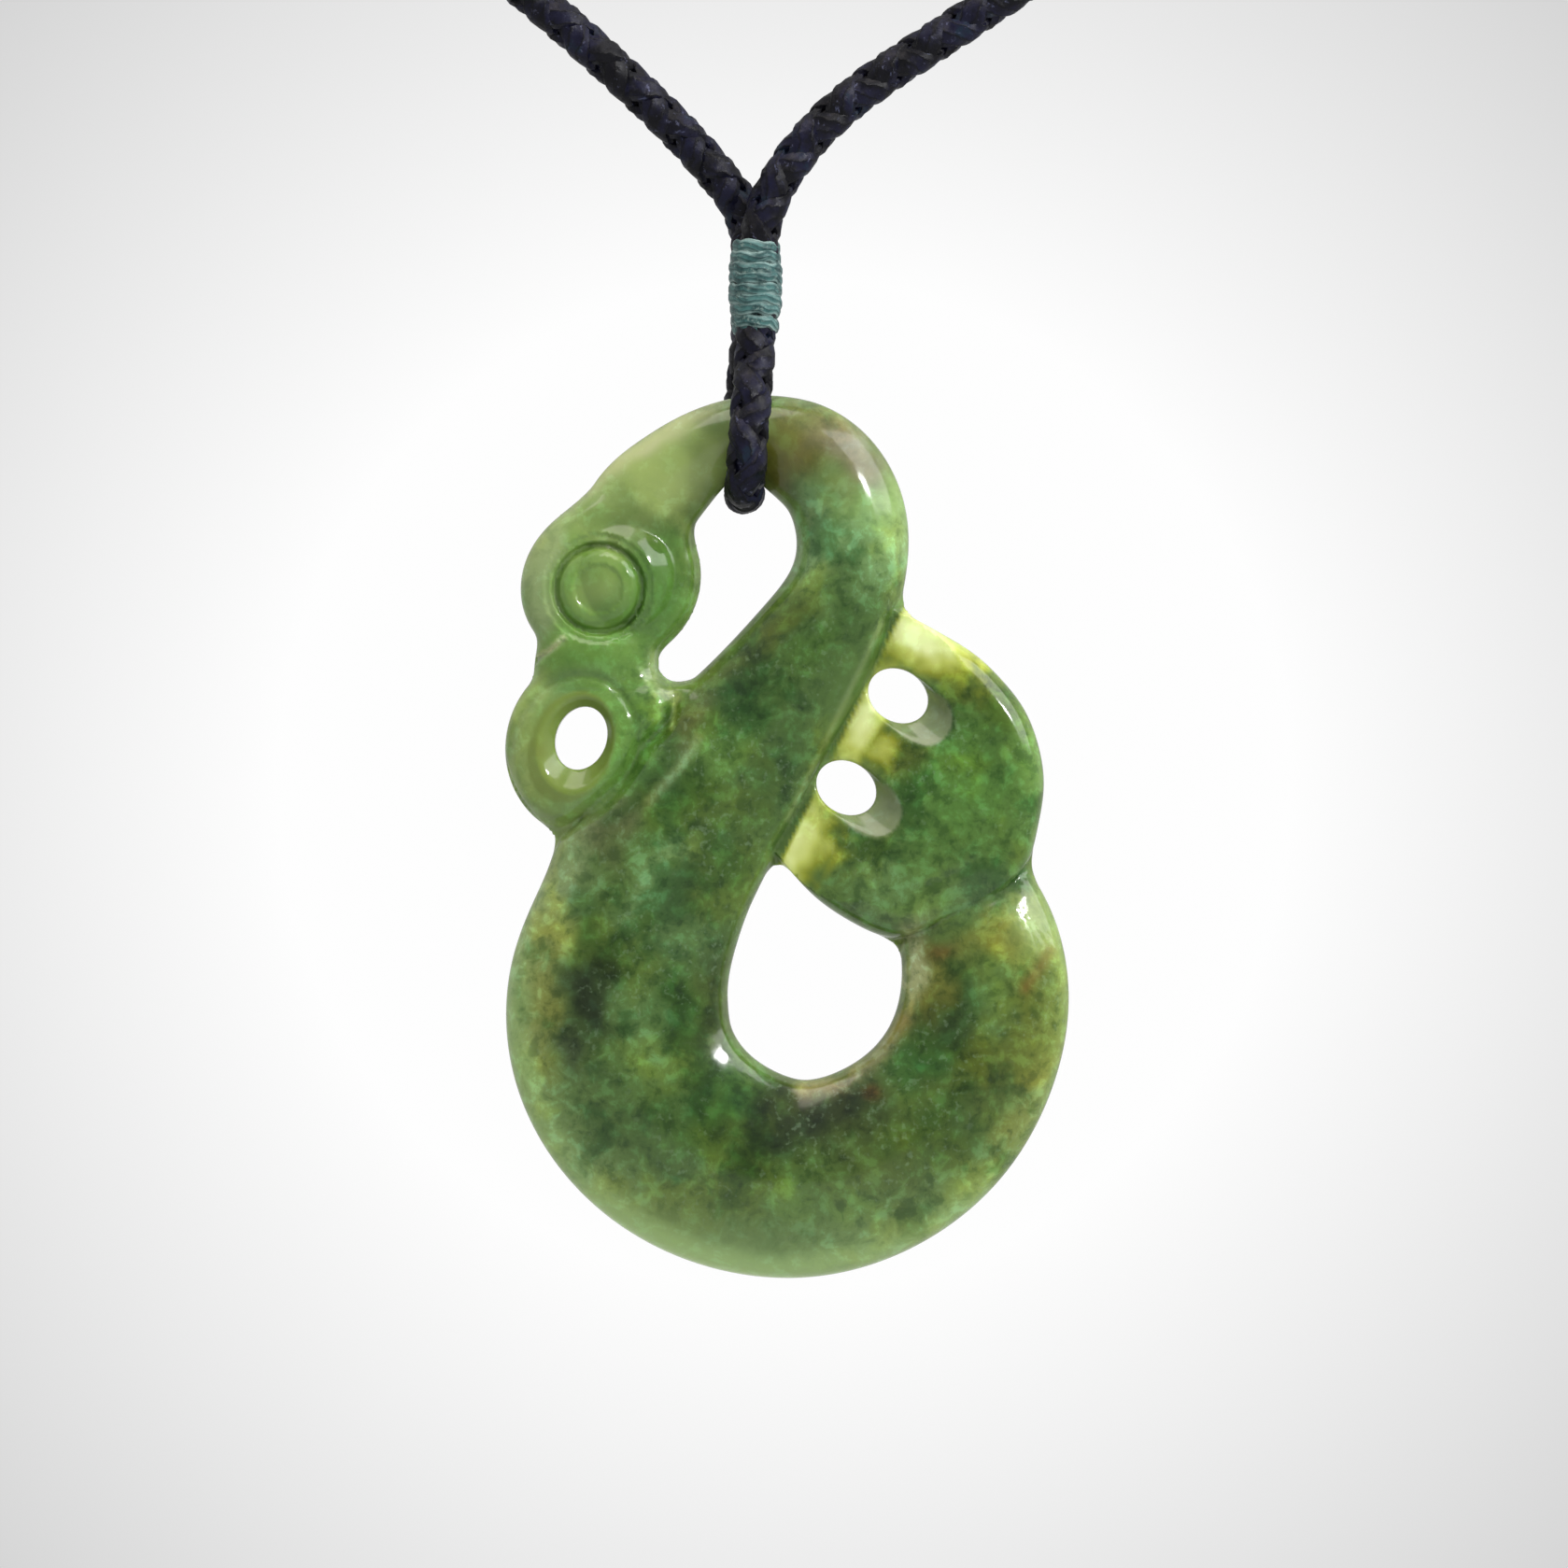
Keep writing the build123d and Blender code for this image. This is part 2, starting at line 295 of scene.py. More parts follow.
def make_mesh(name, points, faces):
    """Make a smooth mesh object from points in millimetres."""
    mesh = bpy.data.meshes.new(name)
    mesh.from_pydata([], [], [])
    mesh.vertices.add(len(points))
    mesh.vertices.foreach_set("co", (np.asarray(points) * MM).astype(np.float32).ravel())
    faces = np.asarray(faces, np.int32)
    mesh.loops.add(faces.size)
    mesh.loops.foreach_set("vertex_index", faces.ravel())
    mesh.polygons.add(len(faces))
    mesh.polygons.foreach_set("loop_start", np.arange(0, faces.size, faces.shape[1], dtype=np.int32))
    mesh.update(calc_edges=True)
    mesh.validate()
    mesh.polygons.foreach_set("use_smooth", np.ones(len(mesh.polygons), bool))
    piece = bpy.data.objects.new(name, mesh)
    bpy.context.scene.collection.objects.link(piece)
    return piece


def unit(rows):
    """Scale each row to length one."""
    return rows / np.linalg.norm(rows, axis=1, keepdims=True)


def length_along(line):
    """Return how far along a line each of its points lies."""
    return np.concatenate(([0], np.cumsum(np.linalg.norm(np.diff(line, axis=0), axis=1))))


def frames_along(line):
    """Carry two directions that are square to a line along it without twist."""
    ahead = unit(np.gradient(line, axis=0))
    side = np.empty_like(line)
    aid = np.array((0.0, 1.0, 0.0))
    side[0] = aid - ahead[0] * (aid @ ahead[0])
    for i in range(1, len(line)):
        side[i] = side[i - 1] - ahead[i] * (side[i - 1] @ ahead[i])
        side[i] /= np.linalg.norm(side[i])
    side[0] /= np.linalg.norm(side[0])
    return side, np.cross(ahead, side)


def sweep(line, normal, wide, thick, sides=8):
    """Sweep an oval along a line, flat side square to the normals. Return points, faces and UV."""
    ahead = unit(np.gradient(line, axis=0))
    normal = unit(normal - ahead * (normal * ahead).sum(1)[:, None])
    across = np.cross(ahead, normal)
    turn = np.arange(sides) * 2 * math.pi / sides
    points = (
        line[:, None]
        + across[:, None] * (np.cos(turn) * wide / 2)[None, :, None]
        + normal[:, None] * (np.sin(turn) * thick / 2)[None, :, None]
    ).reshape(-1, 3)
    here = np.arange(sides)
    beside = np.roll(here, -1)
    start = (np.arange(len(line) - 1) * sides)[:, None]
    faces = np.stack((
        start + here, start + beside, start + sides + beside, start + sides + here,
    ), axis=2).reshape(-1, 4)
    run = length_along(line)
    around = np.arange(sides + 1) / sides
    uv = np.empty((len(line) - 1, sides, 4, 2))
    uv[..., 0] = np.stack((around[:-1], around[1:], around[1:], around[:-1]), axis=1)[None]
    uv[..., 1] = np.stack((run[:-1], run[:-1], run[1:], run[1:]), axis=1)[:, None]
    return points, faces, uv.reshape(-1, 2)


def join_sweeps(name, parts):
    """Make one mesh of several swept parts, with their UV."""
    points, faces, uv, offset = [], [], [], 0
    for part_points, part_faces, part_uv in parts:
        points.append(part_points)
        faces.append(part_faces + offset)
        uv.append(part_uv)
        offset += len(part_points)
    piece = make_mesh(name, np.concatenate(points), np.concatenate(faces))
    layer = piece.data.uv_layers.new(name="thread")
    layer.data.foreach_set("uv", np.concatenate(uv).astype(np.float32).ravel())
    return piece


# Cord, whipping and back tie

def cord_line(step):
    """Read the smooth line of the cord's route in even steps, and how far along each lies."""
    curve = bpy.data.curves.new("cord_route", "CURVE")
    curve.dimensions = "3D"
    curve.resolution_u = ROUTE_STEPS
    spline = curve.splines.new("NURBS")
    spline.points.add(len(CORD_ROUTE) - 1)
    for point, place_mm in zip(spline.points, CORD_ROUTE):
        point.co = (*place_mm, 1)
    spline.order_u = 3
    spline.use_endpoint_u = True
    route = bpy.data.objects.new("cord_route", curve)
    mesh = bpy.data.meshes.new_from_object(route)
    line = np.array([v.co for v in mesh.vertices])
    bpy.data.objects.remove(route)
    bpy.data.meshes.remove(mesh)
    line = line[np.concatenate(([True], np.diff(length_along(line)) > SAME_SPOT))]
    run = length_along(line)
    at = np.linspace(0, run[-1], int(run[-1] / step) + 1)
    return np.stack([np.interp(at, run, line[:, k]) for k in range(3)], axis=1), at


def plaited_cord():
    """Plait four strands round the cord's line, each over one and under the next."""
    line, run = cord_line(PLAIT_PITCH / PLAIT_STEPS)
    side, up = frames_along(line)
    phase = 2 * math.pi * run / PLAIT_PITCH
    parts = []
    for hand in (1, -1):
        for half in (0, 1):
            turn = hand * phase + half * math.pi + math.radians(PLAIT_START)
            reach = STRAND_REACH + hand * STRAND_SWING * np.cos(2 * phase + half * 2 * math.pi)
            outward = side * np.cos(turn)[:, None] + up * np.sin(turn)[:, None]
            parts.append(sweep(line + outward * reach[:, None], outward, STRAND_WIDE, STRAND_THICK))
    parts.append(sweep(line, side, CORE_WIDE, CORE_WIDE, CORE_SIDES))
    piece = join_sweeps("plaited_cord", parts)
    ride_root(piece)
    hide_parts("cord")
    return piece, line


def wavy(angle, waves):
    """Add up the waves in a winding."""
    return sum(height * np.sin(rate * angle + start) for height, rate, start in waves)


def whipping():
    """Wind the thread round both legs of the cord."""
    t = np.linspace(0, 1, int(WRAP_TURNS * WRAP_STEPS) + 1)
    angle = 2 * math.pi * WRAP_TURNS * t + math.radians(WRAP_START)
    c, s = np.cos(angle), np.sin(angle)
    barrel = 1 - WRAP_TAPER * (2 * (t - WRAP_FULLEST)) ** 2
    x = WRAP_HALF_WIDE * barrel * (1 + wavy(angle, WRAP_TIGHTNESS))
    x *= np.sign(c) * np.abs(c) ** WRAP_BOW
    y = WRAP_HALF_DEEP * np.sqrt(barrel) * np.sign(s) * np.abs(s) ** WRAP_BOW
    thread = WRAP_TALL / WRAP_TURNS
    z = WRAP_TOP - thread / 2 - (WRAP_TALL - thread) * t
    z += WRAP_LEAN * x + wavy(angle, WRAP_WANDER)
    end = np.clip(t - WRAP_DROOP_START, 0, 1) / (1 - WRAP_DROOP_START)
    z -= WRAP_DROOP * end * (x - WRAP_DROOP_SIDE)
    line = np.stack((x + WRAP_SHIFT, y, z), axis=1)
    normal = np.stack((x / WRAP_HALF_WIDE**2, y / WRAP_HALF_DEEP**2, 0 * x), axis=1)
    wound = sweep(line, normal, thread * THREAD_LAP, WRAP_THICK, WRAP_SIDES)
    piece = join_sweeps("wound_whipping", [wound])
    ride_root(piece)
    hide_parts("whipping")
    return piece


def back_tie():
    """Wind the thread round the join of the cord's ends at the nape."""
    t = np.linspace(0, 1, TIE_TURNS * TIE_STEPS + 1)
    angle = 2 * math.pi * TIE_TURNS * t
    thread = TIE_LONG / TIE_TURNS
    radius = CORD / 2 + TIE_CLEAR
    x = (t - 0.5) * (TIE_LONG - thread)
    line = np.stack((x, radius * np.cos(angle), TIE_UP + radius * np.sin(angle)), axis=1)
    normal = np.stack((0 * x, np.cos(angle), np.sin(angle)), axis=1)
    piece = join_sweeps("wound_tie", [sweep(line, normal, thread * THREAD_LAP, TIE_THICK)])
    ride_root(piece)
    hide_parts("back_tie")
    return piece


cord_piece, cord_path = plaited_cord()
whipping_piece = whipping()
tie_piece = back_tie()
[v * MM for v in CORD_ROUTE[0]]


# Jade, as a field that is negative inside the stone

def natural_spline(knots, rows, at):
    """Run a natural cubic spline through rows of numbers and read it at given places."""
    gap = np.diff(knots)
    slope = np.diff(rows, axis=0) / gap[:, None]
    last = len(knots) - 1
    matrix = np.eye(last + 1)
    bend = np.zeros_like(rows)
    for i in range(1, last):
        matrix[i, i - 1:i + 2] = gap[i - 1], 2 * (gap[i - 1] + gap[i]), gap[i]
        bend[i] = 6 * (slope[i] - slope[i - 1])
    bend = np.linalg.solve(matrix, bend)
    k = np.clip(np.searchsorted(knots, at, side="right") - 1, 0, last - 1)
    t, h = (at - knots[k])[:, None], gap[k][:, None]
    rise = slope[k] - h * (2 * bend[k] + bend[k + 1]) / 6
    return rows[k] + t * rise + t**2 * bend[k] / 2 + t**3 * (bend[k + 1] - bend[k]) / (6 * h)


def limb_lines():
    """Run a spline through the limb: x, z, half width and half thickness along each stretch."""
    rows = np.array([(*place(s), s.half * WIDTH, s.thick * THICKNESS / 2) for s in LIMB])
    knots = length_along(rows[:, :2])
    parts = []
    for first, last in LIMB_STRETCHES:
        at = np.linspace(knots[first], knots[last], LIMB_STEPS * (last - first) + 1)
        parts.append(natural_spline(knots, rows, at))
    return parts


def fin_line():
    """Run a closed spline round the fin's edge."""
    rows = np.array([place(spot) for spot in FIN_EDGE])
    rows = np.concatenate((rows[-FIN_LAP:], rows, rows[:FIN_LAP + 1]))
    knots = length_along(rows)
    at = np.linspace(knots[FIN_LAP], knots[-FIN_LAP - 1], FIN_STEPS)[:-1]
    return natural_spline(knots, rows, at)


def nearest(spots, line):
    """Find each spot's place on a line as a step number, and how far past its end and aside it lies."""
    pace = np.gradient(line[:, :2], axis=0)
    tangent = unit(pace)
    line = line[:, :2]
    number = np.empty(len(spots), int)
    for start in range(0, len(spots), SPOTS_AT_ONCE):
        part = slice(start, start + SPOTS_AT_ONCE)
        number[part] = ((line**2).sum(1) - 2 * spots[part] @ line.T).argmin(1)
    step = spots - line[number]
    along = (step * tangent[number]).sum(1)
    aside = step[:, 0] * tangent[number, 1] - step[:, 1] * tangent[number, 0]
    past = np.where(number == 0, -along, np.where(number == len(line) - 1, along, -FAR))
    return number + along / np.linalg.norm(pace[number], axis=1), past, aside


def away_from(spots, start, stop):
    """Measure how far each spot lies from the straight stretch between two points."""
    step = stop - start
    share = np.clip((spots - start) @ step / (step @ step), 0, 1)[:, None]
    return np.linalg.norm(spots - start - share * step, axis=1)


def turned(x, z, centre, degrees):
    """Measure x and z from a centre, along axes that are turned by an angle."""
    c, s = math.cos(math.radians(degrees)), math.sin(math.radians(degrees))
    x, z = x - centre[0], z - centre[1]
    return x * c + z * s, z * c - x * s


def ease(share):
    """Round off the start and the end of a rise from 0 to 1."""
    return share**2 * (3 - 2 * share)


def cushion(aside, depth, half_wide, half_thick, roll=RIM_ROLL):
    """Measure the distance to a section of two bowed faces and two rolled rims."""
    rim = roll * half_thick
    reach = half_wide - rim
    bow = (reach**2 + half_thick**2 - rim**2) / (2 * (half_thick - rim))
    below = bow - half_thick
    on_face = aside * below < reach * (depth + below)
    to_face = np.hypot(aside, depth + below) - bow
    to_rim = np.hypot(aside - reach, depth) - rim
    return np.where(on_face, to_face, to_rim)


def pebble(x, z, depth, lobe):
    """Measure a round cushion, stretched to an oval and tilted at its spot."""
    u, v = turned(x, z, place(lobe), lobe.tilt)
    radius = np.hypot(u, v * lobe.wide / lobe.tall)
    if lobe.roll == 1:
        return np.hypot(radius, depth) - lobe.wide / 2
    return cushion(radius, depth, lobe.wide / 2, lobe.thick / 2, lobe.roll)


def oval(x, z, shape):
    """Measure how far outside an upright oval cylinder a point lies."""
    u, v = turned(x, z, place(shape), shape.turn)
    size = np.hypot(u / (shape.wide / 2), v / (shape.tall / 2)) + 1e-9
    return (size - 1) * np.hypot(u, v) / size


def merge(a, b, blend):
    """Join two fields, rounding the valley between them."""
    gap = np.maximum(blend - np.abs(a - b), 0) / blend
    return np.minimum(a, b) - gap**2 * blend / 4


def carve(a, b, blend):
    """Take field b out of field a, rounding the edge."""
    return -merge(-a, b, blend)


def seam(a, b, depth, cut, blend=SEAM_BLEND):
    """Join two fields with a fine carved line on the faces and a rounded notch at the outline."""
    face = np.clip(depth / NOTCH_DEEP, 0, 1)
    joined = merge(a, b, np.maximum(NOTCH_ROUND * (1 - face), blend))
    return joined + face * cut.deep * np.exp(-(((a - b) / cut.wide) ** 2))


def funnel(x, z, depth, waist, brim, face, deep):
    """Measure an oval hole that opens from its waist to a brim in the front face."""
    share = np.clip((depth - (face - deep)) / deep, 0, FLARE_ON)
    narrow, broad = (np.array(end)[:, None, None] for end in (waist, brim))
    shape = Oval(*(narrow + share * (broad - narrow)))
    return oval(x, z, shape._replace(turn=waist.turn))


def eye_cut(x, z):
    """Return how deep the eye is cut into the head's face."""
    centre = place(EYE_AT)
    return np.interp(np.hypot(x - centre[0], z - centre[1]), *zip(*EYE_CUT))


limb_parts = limb_lines()
fin_edge = fin_line()
fin_root = place(FIN_ROOT_TOP) - place(FIN_ROOT_LOW)
fin_root_out = np.array((fin_root[1], -fin_root[0])) / np.linalg.norm(fin_root)


def limb_field(spots, depth):
    """Measure the limb from the head to the tail."""
    body = FAR
    for line in limb_parts:
        number, past, aside = nearest(spots, line)
        steps = np.arange(len(line))
        half_wide, half_thick = (np.interp(number, steps, line[:, k])[:, None] for k in (2, 3))
        part = cushion(np.abs(aside)[:, None], depth, half_wide, half_thick)
        body = np.minimum(body, np.maximum(part, past[:, None]))
    return body


def fin_field(spots, depth):
    """Measure the fin, a plate with a rolled edge that slopes down to its root."""
    inward = nearest(spots, fin_edge)[2][:, None]
    rim_out = np.maximum(FIN_RIM - inward, 0)
    crown = FIN_THICK / 2 - FIN_CROWN * (1 - np.clip(inward / FIN_CROWN_WIDE, 0, 1)) ** 2
    rim_up = depth - (crown - FIN_RIM)
    fin = np.hypot(rim_out, np.maximum(rim_up, 0)) + np.minimum(np.maximum(-inward, rim_up), 0) - FIN_RIM
    out = ((spots - place(FIN_ROOT_TOP)) @ fin_root_out)[:, None]
    rise = ease(np.clip(out / FIN_SLOPE_WIDE, 0, 1))
    slope = FIN_ROOT_THICK / 2 + (FIN_THICK - FIN_ROOT_THICK) / 2 * rise
    return np.where(out < FIN_SLOPE_WIDE, np.maximum(fin, (depth - slope) * FIN_SLOPE_LEAN), fin)


def manaia(x, z, y):
    """Measure the whole carving. x and z are columns, y is a row or a column."""
    spots = np.concatenate((x, z), axis=1)
    depth = np.abs(y)
    stone = seam(limb_field(spots, depth), fin_field(spots, depth), depth, FIN_SEAM)
    stone = merge(stone, pebble(x, z, depth, HEAD), HEAD.blend)
    stone = merge(stone, pebble(x, z, depth, THROAT), THROAT.blend)
    dome = np.maximum(pebble(x, z, depth, DOME), y)
    stone = seam(stone, dome, depth, CHEEK_SEAM, DOME.blend)
    snout = merge(pebble(x, z, depth, SNOUT), pebble(x, z, depth, JAW), JAW.blend)
    low = np.clip((place(CREASE_TOP)[1] - z) / CREASE_FADE, 0, 1)
    crease = SNOUT_SEAM._replace(deep=SNOUT_SEAM.deep * low)
    stone = seam(stone, snout, depth, crease, SNOUT.blend + (SEAM_BLEND - SNOUT.blend) * low)
    stone = merge(stone, pebble(x, z, depth, WEB), WEB.blend)

    ring = MOUTH_RING_DEEP * np.exp(-((oval(x, z, MOUTH_RING) / MOUTH_RING_WIDE) ** 2))
    lip = away_from(spots, *(place(spot) for spot in LIP_CUT))[:, None]
    lip = LIP_CUT_DEEP * np.exp(-((lip / LIP_CUT_WIDE) ** 2))
    stone = stone + np.where(y < 0, eye_cut(x, z) + ring + lip, 0)
    mouth = funnel(x, z, -y, MOUTH, MOUTH_DISH, SNOUT.thick / 2, MOUTH_DISH_DEEP)
    stone = carve(stone, mouth, MOUTH_EDGE_ROUND)
    for hole, flare in zip(FIN_HOLES, FIN_FLARES):
        flared = funnel(x, z, -y, hole, flare, FIN_THICK / 2, FIN_FLARE_DEEP)
        stone = carve(stone, np.minimum(oval(x, z, hole), flared), HOLE_EDGE_ROUND)
    return stone


def stone_at(points):
    """Measure the carving at points given as rows of x, z and y."""
    return manaia(points[:, 0:1], points[:, 1:2], points[:, 2:3])


def skin(field, low, cell):
    """Wrap quads round where a sampled field turns negative, one point in each cell that it crosses."""
    strides = np.array([field.shape[1] * field.shape[2], field.shape[2], 1])
    total, count, quads = np.zeros((field.size, 3)), np.zeros(field.size), []
    for axis in range(3):
        here = [slice(None)] * 3
        there = [slice(None)] * 3
        here[axis], there[axis] = slice(0, -1), slice(1, None)
        first, second = field[tuple(here)], field[tuple(there)]
        corner = np.argwhere((first < 0) != (second < 0))
        a = first[tuple(corner.T)]
        b = second[tuple(corner.T)]
        point = corner.astype(float)
        point[:, axis] += a / (a - b)
        one, two = strides[(axis + 1) % 3], strides[(axis + 2) % 3]
        cell_number = corner @ strides
        ring = cell_number[:, None] - np.array((0, one, one + two, two))
        for k in range(4):
            count += np.bincount(ring[:, k], minlength=field.size)
            for j in range(3):
                total[:, j] += np.bincount(ring[:, k], point[:, j], field.size)
        quads.append(np.where((a < 0)[:, None], ring, ring[:, ::-1]))
    used = count > 0
    points = total[used] / count[used][:, None] * cell + low
    faces = (np.cumsum(used) - 1)[np.concatenate(quads)]
    return points, faces


def slope_of(points, at):
    """Return the field's slope at points whose values are known."""
    steps = SLOPE_REACH * np.eye(3)
    return np.concatenate([stone_at(points + step) - at for step in steps], axis=1) / SLOPE_REACH


def jade_skin():
    """Mesh the carving, then settle each point on the true surface."""
    cell = CELL
    low = np.array((*place(BOX_LOW), -BOX_HALF_THICK))
    high = np.array((*place(BOX_HIGH), BOX_HALF_THICK))
    counts = np.ceil((high - low) / cell).astype(int) + 1
    xs, zs, ys = [low[k] + cell * np.arange(counts[k]) for k in range(3)]
    x, z = [g.reshape(-1, 1) for g in np.meshgrid(xs, zs, indexing="ij")]
    field = manaia(x, z, ys[None, :]).reshape(counts)
    points, faces = skin(field, low, cell)
    for _ in range(SETTLE_ROUNDS):
        at = stone_at(points)
        rise = slope_of(points, at)
        move = at * rise / np.maximum((rise**2).sum(1, keepdims=True), SLOPE_LEAST)
        points -= np.clip(move, -cell / 2, cell / 2)
    normals = unit(slope_of(points, stone_at(points)))
    return points[:, [0, 2, 1]], faces, normals[:, [0, 2, 1]]


# Colours of the stone
MID_GREEN = (0.32, 0.43, 0.20)
HEAD_GREEN = (0.42, 0.57, 0.26)
LEAF_GREEN = (0.32, 0.48, 0.20)
MOSS_GREEN = (0.38, 0.50, 0.28)
DEEP_GREEN = (0.21, 0.33, 0.12)
BOTTLE_GREEN = (0.12, 0.30, 0.11)
NEAR_BLACK = (0.10, 0.15, 0.07)
SHOULDER_GREEN_AND_SHEEN = (0.52, 0.66, 0.42)
CLEAR_GREEN = (0.62, 0.70, 0.41)
GREY_GREEN = (0.60, 0.67, 0.47)
PALE_GREEN = (0.68, 0.80, 0.52)
OLIVE = (0.37, 0.37, 0.13)
DARK_OLIVE = (0.30, 0.36, 0.12)
STRAW = (0.50, 0.50, 0.20)
REFLECTED_SAND = (0.52, 0.49, 0.34)
CREAM = (0.76, 0.78, 0.58)
REFLECTED_MAUVE = (0.50, 0.47, 0.38)
CREASE_SHADE = (0.36, 0.36, 0.24)
RUST = (0.40, 0.23, 0.08)

